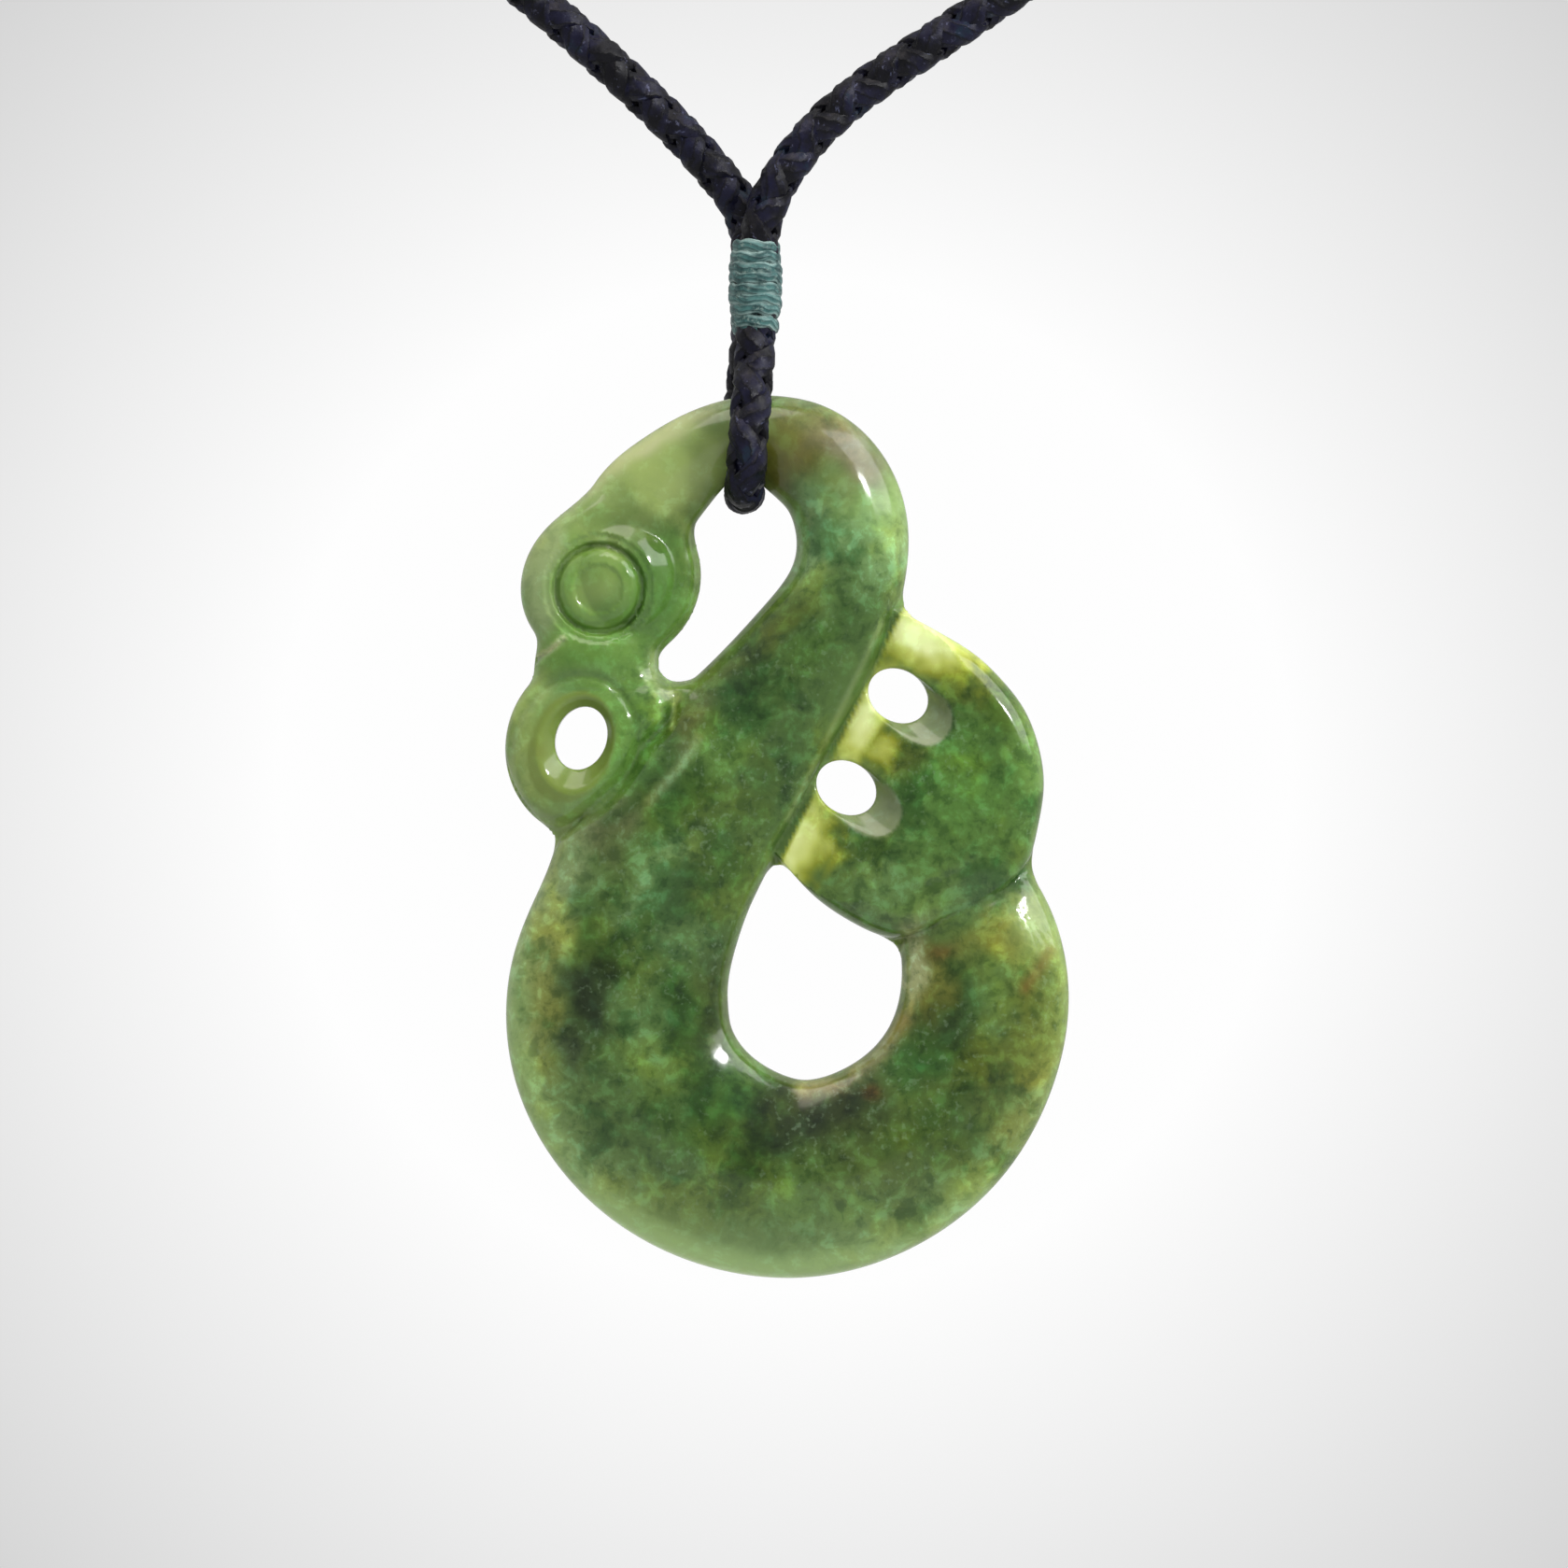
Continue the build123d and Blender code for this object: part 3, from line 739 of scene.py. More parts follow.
# Soft patches of colour in each part of the carving, some of them painted sheen, highlights,
# reflections and shade: where one lies, its reach in mm, its turn in degrees, its colour and its strength
Patch = namedtuple("Patch", "across up wide tall turn colour strength")
PATCHES = {
    "head": (
        (0.17, 0.78, 7.0, 6.5, 0, HEAD_GREEN, 1.0),
        (0.245, 0.80, 1.6, 4.0, 10, LEAF_GREEN, 0.8),
        (0.06, 0.80, 1.3, 5.5, -8, GREY_GREEN, 0.9),
        (0.13, 0.90, 1.6, 4.0, -50, GREY_GREEN, 0.9),
        (0.165, 0.781, 1.4, 1.4, 0, CLEAR_GREEN, 0.5),
    ),
    "snout": (
        (0.14, 0.60, 5.5, 6.5, 0, HEAD_GREEN, 0.95),
        (0.04, 0.60, 2.0, 5.0, 0, CLEAR_GREEN, 0.75),
        (0.25, 0.60, 1.8, 3.8, 0, LEAF_GREEN, 0.75),
        (0.11, 0.655, 1.6, 1.4, 0, MOSS_GREEN, 0.6),
        (0.14, 0.70, 2.4, 1.0, 0, LEAF_GREEN, 0.5),
        (0.06, 0.60, 0.5, 0.5, 0, RUST, 0.35),
        # Painted shade along the crease between the snout and the body
        (0.325, 0.62, 0.8, 3.0, -24, CREASE_SHADE, 0.7),
        (0.205, 0.527, 2.8, 0.9, 30, CREASE_SHADE, 0.6),
    ),
    "arch": (
        (0.28, 0.90, 7.0, 3.0, 25, CLEAR_GREEN, 1.0),
        (0.245, 0.85, 3.0, 1.7, -20, DEEP_GREEN, 0.6),
        (0.285, 0.78, 1.0, 3.5, 0, LEAF_GREEN, 0.7),
        # Painted highlight: the pale band where the neck's outer bevel catches the light
        (0.248, 0.943, 6.8, 0.75, 31, CREAM, 0.8),
        (0.515, 0.93, 3.2, 2.6, -10, OLIVE, 0.95),
        # Painted sheen: the soft reflection of a window on the right shoulder
        (0.645, 0.845, 3.2, 3.5, 0, SHOULDER_GREEN_AND_SHEEN, 0.95),
        # Painted reflection of a soft light on the right of the crown
        (0.605, 0.945, 3.4, 1.9, -32, REFLECTED_MAUVE, 0.8),
        (0.70, 0.83, 1.2, 4.0, 5, PALE_GREEN, 0.25),
    ),
    "upper body": (
        (0.57, 0.75, 3.6, 5.0, -35, DEEP_GREEN, 0.75),
        (0.55, 0.835, 1.8, 3.6, -8, SHOULDER_GREEN_AND_SHEEN, 0.95),
        (0.40, 0.60, 4.0, 6.0, -40, DEEP_GREEN, 0.5),
        (0.448, 0.713, 0.8, 4.4, -51, DARK_OLIVE, 0.7),
        (0.416, 0.641, 1.7, 2.4, -45, BOTTLE_GREEN, 0.6),
        (0.393, 0.595, 1.8, 2.0, -30, HEAD_GREEN, 0.5),
        (0.296, 0.543, 2.0, 2.6, -40, BOTTLE_GREEN, 0.6),
        (0.383, 0.481, 1.9, 2.2, 0, BOTTLE_GREEN, 0.6),
        (0.479, 0.58, 1.2, 4.4, -26, DEEP_GREEN, 0.6),
        # Painted shade where that crease runs out at the lower left
        (0.181, 0.50, 1.8, 2.0, 0, CREASE_SHADE, 0.6),
    ),
    "back of the curl": (
        (0.28, 0.38, 4.0, 5.0, 0, DEEP_GREEN, 0.7),
        (0.10, 0.45, 1.6, 5.0, -12, GREY_GREEN, 0.55),
        (0.045, 0.443, 1.0, 4.0, -10, GREY_GREEN, 0.6),
        (0.06, 0.32, 1.3, 4.6, 0, STRAW, 0.8),
        (0.14, 0.405, 1.0, 3.0, 0, BOTTLE_GREEN, 0.55),
        (0.148, 0.318, 1.8, 2.6, 0, NEAR_BLACK, 0.95),
        (0.119, 0.262, 0.8, 1.9, 15, NEAR_BLACK, 0.7),
        (0.262, 0.452, 1.3, 3.8, -30, SHOULDER_GREEN_AND_SHEEN, 0.5),
        (0.30, 0.37, 2.6, 3.0, 0, MOSS_GREEN, 0.6),
        (0.24, 0.285, 1.7, 3.6, 8, MOSS_GREEN, 0.6),
        (0.303, 0.322, 1.5, 3.0, 0, BOTTLE_GREEN, 0.6),
        (0.376, 0.315, 1.3, 4.2, 0, NEAR_BLACK, 0.6),
    ),
    "foot of the curl": (
        (0.253, 0.172, 3.2, 2.0, -30, DEEP_GREEN, 0.65),
        (0.45, 0.17, 4.6, 3.2, -14, DEEP_GREEN, 0.85),
        (0.64, 0.17, 5.0, 3.0, 10, DARK_OLIVE, 0.6),
        (0.54, 0.186, 4.7, 2.3, 5, NEAR_BLACK, 0.95),
        (0.39, 0.215, 2.6, 2.0, 10, BOTTLE_GREEN, 0.8),
        (0.69, 0.12, 3.0, 1.4, 15, DARK_OLIVE, 0.6),
        (0.647, 0.211, 0.7, 0.45, 0, RUST, 0.6),
    ),
    "tail": (
        (0.84, 0.24, 4.0, 4.0, 30, DARK_OLIVE, 0.8),
        (0.94, 0.276, 1.9, 4.2, -8, DARK_OLIVE, 0.8),
        (0.79, 0.31, 1.8, 3.4, 0, BOTTLE_GREEN, 0.8),
        (0.805, 0.291, 2.2, 1.9, 0, NEAR_BLACK, 0.6),
        (0.725, 0.253, 1.8, 2.0, -30, BOTTLE_GREEN, 0.8),
        (0.77, 0.165, 3.2, 2.2, 20, DEEP_GREEN, 0.8),
        (0.86, 0.305, 1.4, 2.2, 0, MOSS_GREEN, 0.5),
        (0.927, 0.188, 1.2, 4.2, -30, STRAW, 0.6),
        (0.875, 0.395, 2.8, 1.5, 28, STRAW, 0.7),
        # Painted light shining through the thin end of the tail
        (0.945, 0.398, 2.0, 2.3, 28, CLEAR_GREEN, 0.75),
        (0.745, 0.34, 1.7, 2.8, -8, STRAW, 0.7),
        (0.72, 0.347, 0.8, 2.6, -8, CREAM, 0.7),
        (0.775, 0.372, 1.0, 0.6, 15, RUST, 0.5),
    ),
    "fin": (
        (0.80, 0.58, 5.0, 6.0, 20, LEAF_GREEN, 0.9),
        (0.88, 0.64, 2.4, 3.0, 0, DEEP_GREEN, 0.6),
        (0.816, 0.67, 2.0, 1.6, -20, DARK_OLIVE, 0.8),
        (0.66, 0.45, 2.0, 1.8, 0, MOSS_GREEN, 0.7),
        (0.94, 0.60, 1.6, 5.0, 0, HEAD_GREEN, 0.6),
        (0.86, 0.445, 2.2, 1.2, 28, MOSS_GREEN, 0.6),
        (0.759, 0.691, 1.0, 0.9, 0, OLIVE, 0.7),
        (0.707, 0.593, 1.3, 1.3, 0, STRAW, 0.7),
    ),
}
PATCH_FIRM = 1.4

# Fine marks along the carved edges, some of them painted highlights, reflections and shade:
# the spots that they run through, their reach in mm, their colour and their strength
Stroke = namedtuple("Stroke", "run wide colour strength")
STROKES = [Stroke([Spot(*spot) for spot in run], *row) for run, *row in (
    # Painted highlights along the ridges at the snout's upper right
    (((0.238, 0.691), (0.251, 0.676), (0.265, 0.661)), 0.15, PALE_GREEN, 0.65),
    (((0.265, 0.661), (0.271, 0.640), (0.275, 0.624)), 0.28, SHOULDER_GREEN_AND_SHEEN, 0.3),
    (((0.298, 0.660), (0.298, 0.645), (0.294, 0.623)), 0.13, PALE_GREEN, 0.7),
    # Painted reflection on the bevel beside the web
    (((0.261, 0.706), (0.258, 0.687), (0.274, 0.668), (0.301, 0.659)), 0.32, GREY_GREEN, 0.75),
    # Painted shade in the valley of the crease between the snout and the body
    (((0.296, 0.616), (0.281, 0.581), (0.255, 0.555), (0.221, 0.536), (0.178, 0.519)),
     0.50, DEEP_GREEN, 0.75),
    # Painted highlight along the body's bevel beside that crease
    (((0.340, 0.612), (0.328, 0.598), (0.308, 0.579), (0.281, 0.560), (0.255, 0.541)),
     0.32, GREY_GREEN, 0.35),
    (((0.665, 0.742), (0.628, 0.688), (0.560, 0.600), (0.500, 0.520)), 0.20, GREY_GREEN, 0.35),
    (((0.050, 0.703), (0.078, 0.712), (0.102, 0.726)), 0.15, CREAM, 0.9),
    # Painted reflection on the rolled inner rim of the hole in the curl
    (((0.530, 0.216), (0.600, 0.224), (0.660, 0.255), (0.705, 0.295)), 0.55, REFLECTED_SAND, 0.8),
    (((0.967, 0.374), (0.949, 0.355), (0.921, 0.330)), 0.42, RUST, 0.5),
)]

# Slow waves that shift the borders of the patches: height in mm, rates across and up, and start
Wave = namedtuple("Wave", "high across up start")
SWAY_ACROSS = (Wave(0.6, 0.7, 1.3, 0), Wave(0.35, 2.9, -1.7, 1))
SWAY_UP = (Wave(0.6, 1.1, -0.9, 2), Wave(0.35, 2.1, 2.3, 0))
# A patch this wide or wider, in mm, sways in full
SWAY_FULL = 2.5

# The walls that slope into the drilled holes and the mouth: their tones and how strong they are,
# how softly they start, how far under the face, and how smooth the stone is there
CUT_TONE = (0.54, 0.58, 0.44)
DISH_TONE = (0.45, 0.52, 0.22)
CUT_PALE = 0.75
CUT_SOFT = 0.15
CUT_SUNK = 0.12
CUT_FADE = 0.1
CUT_SMOOTH = 0.7

# Painted shade in the groove round the eye: its darker tone, and how deep in mm the shade starts and would
# be full
GROOVE_SHADE = (0.33, 0.49, 0.18)
GROOVE_START = 0.3825
GROOVE_FULL = 1.2325

# Zones of the stone: where one lies, its reach in mm, its turn in degrees and its strength
Zone = namedtuple("Zone", "across up wide tall turn strength")
# Painted light: the bevel round the foot of the carving, paler where light shines through the thin stone
RIM_LIGHT_BANDS = [Zone(*row) for row in (
    (0.02, 0.20, 6.0, 12.0, 0, 0.72),
    (0.30, 0.03, 12.0, 7.0, 0, 1.0),
    (0.75, 0.05, 8.0, 6.0, 0, 0.6),
    (1.00, 0.25, 5.0, 9.0, 0, 0.25),
)]
BAND_FIRM = 2.0
BAND_WIDE = 3.0
BAND_CLEAR = 0.8
EDGE_WIDE = 1.2

# Thin places that light from behind shines through
THIN_PLACES = [Zone(*row) for row in (
    (0.733, 0.728, 3.6, 1.7, -25, 1.1),
    (0.800, 0.716, 3.2, 0.9, -28, 0.6),
    (0.640, 0.635, 1.2, 3.6, -26, 0.95),
    (0.665, 0.600, 1.3, 1.3, 0, 0.55),
    (0.515, 0.495, 1.7, 3.6, -26, 0.85),
    (0.560, 0.487, 1.6, 1.6, 0, 0.45),
)]
THIN_FIRM = 1.0
THIN_EDGE = 0.3
THIN_CLEAR = 0.8
# Clouds in them: how strong, below what glow there are none, and their rates across, up and with the sway
THIN_UNEVEN = 0.10
THIN_FAINT = 0.05
Cloud = namedtuple("Cloud", "across up sway")
THIN_CLOUDS = (Cloud(2.6, 1.0, 3), Cloud(-1.0, 2.2, 2))
# Their colours from thick to thin, and how soon the colours take over from the stone's own
THIN_STEPS = (0.0, 0.3, 0.6, 1.0)
THIN_COLOURS = ((0.34, 0.44, 0.14), (0.52, 0.56, 0.15), (0.72, 0.76, 0.38), (0.87, 0.91, 0.66))
THIN_SOON = 3

# Places where the stone is clear and hardly mottled
CLEAR_PLACES = [Zone(*row) for row in (
    (0.17, 0.79, 6.3, 5.6, 0, 0.85),
    (0.10, 0.60, 4.5, 7.0, 0, 0.75),
    (0.33, 0.93, 9.0, 4.0, 0, 0.9),
    (0.66, 0.90, 4.0, 3.5, 0, 0.6),
    (0.62, 0.64, 2.4, 4.0, 0, 0.9),
    (0.52, 0.48, 2.0, 2.6, 0, 0.9),
    (0.74, 0.71, 3.2, 2.0, 0, 0.8),
    (0.30, 0.03, 14.0, 3.5, 0, 0.6),
    (0.94, 0.40, 2.6, 2.4, 0, 0.6),
)]


def linear(colour):
    """Turn a colour as seen on a screen into light."""
    return np.array([c / 12.92 if c <= 0.04045 else ((c + 0.055) / 1.055) ** 2.4 for c in colour])


def weight_at(x, z, zone, firm=PATCH_FIRM):
    """Weigh each point by how deep it lies in a soft oval zone."""
    u, v = turned(x, z, place(zone), zone.turn)
    return zone.strength * np.exp(-(((u / zone.wide) ** 2 + (v / zone.tall) ** 2) ** firm))


def weight_along(x, z, stroke):
    """Weigh each point by how near it lies to a fine mark."""
    spots = np.stack((x, z), axis=1)
    run = [place(spot) for spot in stroke.run]
    away = np.min([away_from(spots, start, stop) for start, stop in zip(run, run[1:])], axis=0)
    return stroke.strength * np.exp(-((away / stroke.wide) ** 2))


def sway(x, z, waves):
    """Add up slow waves over the stone, in millimetres."""
    return sum(w.high * np.sin(w.across * x + w.up * z + w.start) for w in waves)


def tint(tone, weight, light):
    """Blend a colour, given as light, into the tone by a weight at each point."""
    tone += weight[:, None] * (light - tone)


def cut_walls(points):
    """Weigh how surely each point lies on the wall of each cut, and give that wall's colour."""
    x, z = points[:, 0], points[:, 2]
    cuts = [(flare, FIN_THICK, CUT_TONE) for flare in FIN_FLARES]
    cuts.append((MOUTH_DISH, SNOUT.thick, DISH_TONE))
    for cut, thick, colour in cuts:
        within = np.clip(-oval(x, z, cut) / CUT_SOFT, 0, 1)
        sunk = np.clip((thick / 2 - CUT_SUNK + points[:, 1]) / CUT_FADE, 0, 1)
        yield within * sunk, linear(colour)


def thin_glow(x, z, sways):
    """Weigh how much light shines through the stone at the fin's root."""
    glow = np.max([weight_at(x, z, zone, THIN_FIRM) for zone in THIN_PLACES], axis=0)
    uneven = 1.0
    for cloud, shift in zip(THIN_CLOUDS, sways):
        uneven = uneven * np.sin(cloud.across * x + cloud.up * z + cloud.sway * shift)
    glow = np.clip(glow + THIN_UNEVEN * uneven * (glow > THIN_FAINT), 0, 1)
    out = (np.stack((x, z), axis=1) - place(FIN_ROOT_TOP)) @ fin_root_out
    return glow * np.clip(out / THIN_EDGE, 0, 1)


def paint(piece, points):
    """Store the stone's tone with its painted light and shade, and how mottled, how near its edge and how
    lit through it is.
    """
    x, z = points[:, 0], points[:, 2]
    on_front = points[:, 1] < 0
    sways = sway(x, z, SWAY_ACROSS), sway(x, z, SWAY_UP)
    tone = np.broadcast_to(linear(MID_GREEN), (len(points), 3)).copy()
    for patch in (Patch(*row) for rows in PATCHES.values() for row in rows):
        share = min(patch.wide, patch.tall, SWAY_FULL) / SWAY_FULL
        weight = weight_at(x + share * sways[0], z + share * sways[1], patch)
        tint(tone, weight, linear(patch.colour))
    for stroke in STROKES:
        tint(tone, on_front * weight_along(x, z, stroke), linear(stroke.colour))

    inside = -stone_at(np.stack((x, z, 0 * x), axis=1))[:, 0]
    # Painted light shining through the thin stone near the outline at the foot
    rim = ease(np.clip(1 - inside / BAND_WIDE, 0, 1))
    rim_light = np.zeros(len(points))
    for band in RIM_LIGHT_BANDS:
        weight = rim * weight_at(x, z, band, BAND_FIRM)
        tint(tone, weight, linear(PALE_GREEN))
        rim_light = np.maximum(rim_light, weight)

    glow = thin_glow(x, z, sways)
    walls = np.zeros(len(points))
    for wall, light in cut_walls(points):
        glow *= 1 - wall
        tint(tone, CUT_PALE * wall, light)
        walls = np.maximum(walls, wall)
    steps = np.array([linear(colour) for colour in THIN_COLOURS])
    shine = np.stack([np.interp(glow, THIN_STEPS, steps[:, k]) for k in range(3)], axis=1)
    tint(tone, np.clip(THIN_SOON * glow, 0, 1), shine)
    # Painted shade, darker the deeper the eye's groove is cut
    groove = np.clip((eye_cut(x, z) - GROOVE_START) / (GROOVE_FULL - GROOVE_START), 0, 1)
    tint(tone, on_front * groove, linear(GROOVE_SHADE))

    mottled = (1 - BAND_CLEAR * rim_light) * (1 - CUT_SMOOTH * walls) * (1 - THIN_CLEAR * glow)
    for zone in CLEAR_PLACES:
        mottled *= 1 - weight_at(x, z, zone)
    edge = 1 - np.clip(inside / EDGE_WIDE, 0, 1)
    colour = piece.data.color_attributes.new("tone", "FLOAT_COLOR", "POINT")
    colour.data.foreach_set("color", np.c_[tone, np.ones(len(tone))].astype(np.float32).ravel())
    for name, values in (("mottled", mottled), ("edge", edge), ("glow", glow)):
        stored = piece.data.attributes.new(name, "FLOAT", "POINT")
        stored.data.foreach_set("value", values.astype(np.float32))


def jade_manaia():
    """Make the carved stone."""
    points, faces, normals = jade_skin()
    piece = make_mesh("jade_carving", points, faces)
    a, b, c = (points[faces[:, k]] for k in range(3))
    if (np.cross(b - a, c - a) * a).sum() < 0:
        piece.data.flip_normals()
    piece.data.normals_split_custom_set_from_vertices(normals)
    paint(piece, points)
    ride_root(piece)
    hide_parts("jade_manaia")
    return piece


jade_piece = jade_manaia()


# Finishes

# A noise: its rate for each metre, or along a thread's own measure for the streaks,
# how many finer ones it holds and how rough it is
Noise = namedtuple("Noise", "rate finer rough")
# A range of a mask and the range that it is turned into
Span = namedtuple("Span", "low high to_low to_high", defaults=(0.0, 1.0))

STONE_NOISE = {
    "hues": Noise(190, 3, 0.5),
    "clouds": Noise(270, 5, 0.6),
    "grains": Noise(950, 5, 0.62),
}
# The clouds and grains of the stone are bent a little, by this noise and this much of a metre
BEND_NOISE = Noise(500, 3, 0.5)
BEND_BY = (0.0012, 0.0012, 0.0012)

# Mottling: the noise, the range where it sets in, how much of it stays in the clear places,
# and what it multiplies the tone by
Mottle = namedtuple("Mottle", "noise span calm times")
MOTTLING = [Mottle(*row) for row in (
    ("hues", Span(0.48, 0.62, 0, 0.60), 0.0, (1.27, 1.05, 0.42, 1)),
    ("clouds", Span(0.50, 0.64, 0, 0.65), 0.0, (0.14, 0.36, 0.18, 1)),
    ("clouds", Span(0.46, 0.33, 0, 0.32), 0.0, (1.85, 1.85, 1.45, 1)),
    ("grains", Span(0.50, 0.34, 0, 0.52), 0.0, (0.12, 0.26, 0.14, 1)),
    ("grains", Span(0.50, 0.66, 0, 0.48), 0.2, (1.80, 2.20, 3.00, 1)),
)]

# Pale flecks, which gather in zones and nearly leave the clear places
FLECK_NOISE = Noise(2600, 2, 0.5)
FLECK_SPAN = Span(0.55, 0.72)
FLECK_ZONES = Noise(240, 2, 0.5)
FLECK_ZONES_SPAN = Span(0.46, 0.60, 0.12, 1)
FLECK_CALM = 0.15
FLECK_STRENGTH = 0.16
FLECK_COLOUR = (0.62, 0.75, 0.58)

# The rim, paler with painted light that shines through the thin stone there, and the polish, which the
# grains break a little
RIM_LIGHT_SPAN = Span(0.2, 1, 0, 0.22)
RIM_LIGHT_COLOUR = (0.60, 0.68, 0.42)
POLISH_SPAN = Span(0.3, 0.7, 0.10, 0.14)
# How light goes into the stone and comes off it
STONE_BODY = {
    "Emission Strength": 0.13,
    "IOR": 1.61,
    "Specular IOR Level": 0.34,
    "Subsurface Weight": 0.6,
    "Subsurface Radius": (0.8, 1.0, 0.45),
    "Subsurface Scale": 0.0011,
}

# Fibres in the threads: how they wobble, how high they stand in metres, and the pale streaks of worn wax
# and painted glints, which are drawn out along a strand: how fast they change round it and for each mm along
# it
FIBRE_WOBBLE = Noise(900, 3, 0.55)
FIBRE_SPAN = Span(0, 0.7)
FIBRE_HIGH = 0.0001
STREAK_NOISE = Noise(1.7, 4, 0.65)
STREAK_DRAWN = (7, 0.5, 0)
# A strand's outer crest is a quarter of the way round it, and its edges lie this far from there
CREST = 0.25
CREST_SPAN = Span(0.06, 0.18)

# A layer of a thread's colour: the mask that it follows and the mask's range, and whether
# it keeps to the strands' edges
Layer = namedtuple("Layer", "mask span at_edges colour")
# A waxed thread: its fibres, the noise of its patches and of its wax, its layers of colour
# from the base up, its roughness over the wax, the relief of its fibres and its gloss
Thread = namedtuple("Thread", "count twist fuzz patchy wax base layers rough relief gloss")
NAVY_PLAIT = Thread(
    count=6, twist=0.35, fuzz=1.2,
    patchy=Noise(420, 4, 0.6), wax=Noise(1700, 4, 0.7),
    base=(0.03, 0.03, 0.06),
    layers=(
        Layer("patchy", Span(0.42, 0.60), False, (0.08, 0.08, 0.17)),
        Layer("patchy", Span(0.58, 0.68, 0, 0.8), False, (0.08, 0.15, 0.21)),
        Layer("Shade", Span(1, 0, 0, 0.7), False, (0.02, 0.02, 0.03)),
        # The pale wax and streak layers are partly wax and partly painted glints along the fibres
        Layer("wax", Span(0.61, 0.73, 0, 0.55), False, (0.42, 0.43, 0.54)),
        Layer("Wax_glint", Span(0.63, 0.72, 0, 0.6), False, (0.36, 0.38, 0.50)),
    ),
    rough=Span(0.3, 0.7, 0.35, 0.6), relief=0.7, gloss=0.2,
)
TEAL_THREAD = Thread(
    count=8, twist=0.5, fuzz=1.5,
    patchy=Noise(700, 4, 0.6), wax=Noise(2200, 4, 0.7),
    base=(0.08, 0.26, 0.26),
    layers=(
        Layer("patchy", Span(0.42, 0.60), False, (0.24, 0.42, 0.41)),
        Layer("patchy", Span(0.36, 0.56, 0.1, 0.85), True, (0.60, 0.70, 0.68)),
        Layer("wax", Span(0.54, 0.68, 0, 0.75), False, (0.52, 0.61, 0.58)),
        Layer("Wax_glint", Span(0.56, 0.68, 0, 0.6), False, (0.50, 0.62, 0.60)),
        Layer("Shade", Span(1, 0, 0, 0.5), False, (0.08, 0.20, 0.21)),
    ),
    rough=Span(0.3, 0.7, 0.4, 0.7), relief=0.5, gloss=0.5,
)


class Nodes:
    """Places nodes in a material or a node group and joins them."""

    def __init__(self, tree):
        self.tree = tree

    def give(self, socket, value):
        """Link a value to a socket, or set it there where it is plain."""
        if isinstance(value, bpy.types.NodeSocket):
            self.tree.links.new(value, socket)
        else:
            socket.default_value = value

    def add(self, kind, values=None, **settings):
        """Add a node with its settings and the values of its sockets."""
        node = self.tree.nodes.new(kind)
        for name, value in settings.items():
            setattr(node, name, value)
        for name, value in (values or {}).items():
            self.give(node.inputs[name], value)
        return node

    def place(self):
        """Return the place on the piece, in metres."""
        return self.add("ShaderNodeTexCoord").outputs["Object"]

    def stored(self, name, output="Fac"):
        """Return what is stored on the mesh under a name."""
        return self.add("ShaderNodeAttribute", attribute_name=name).outputs[output]

    def mix(self, factor, first, second, blend="MIX"):
        """Blend two colours."""
        node = self.add("ShaderNodeMix", data_type="RGBA", blend_type=blend)
        for socket, value in ((0, factor), (6, first), (7, second)):
            self.give(node.inputs[socket], value)
        return node.outputs[2]

    def span(self, value, span, soft=True):
        """Turn a range of a value into another."""
        return self.add("ShaderNodeMapRange", {
            "Value": value, "From Min": span.low, "From Max": span.high,
            "To Min": span.to_low, "To Max": span.to_high,
        }, interpolation_type="SMOOTHSTEP" if soft else "LINEAR").outputs[0]

    def math(self, operation, first, second=0.0):
        """Work out a sum, a product or the like of one or two values."""
        return self.add("ShaderNodeMath", {0: first, 1: second}, operation=operation).outputs[0]

    def vector(self, operation, first, second):
        """Work out a vector from two."""
        return self.add("ShaderNodeVectorMath", {0: first, 1: second}, operation=operation).outputs[0]

    def times(self, first, *others):
        """Multiply values."""
        for value in others:
            first = self.math("MULTIPLY", first, value)
        return first

    def noise(self, at, kind, output="Fac"):
        """Return soft noise at a place."""
        return self.add("ShaderNodeTexNoise", {
            "Vector": at, "Scale": kind.rate, "Detail": kind.finer, "Roughness": kind.rough,
        }).outputs[output]


def new_material(name):
    """Start a material and return it with its nodes and its Principled shader."""
    material = bpy.data.materials.new(name)
    material.use_nodes = True
    return material, Nodes(material.node_tree), material.node_tree.nodes["Principled BSDF"]


def screen(colour):
    """Give a screen colour as a socket value."""
    return (*linear(colour), 1.0)


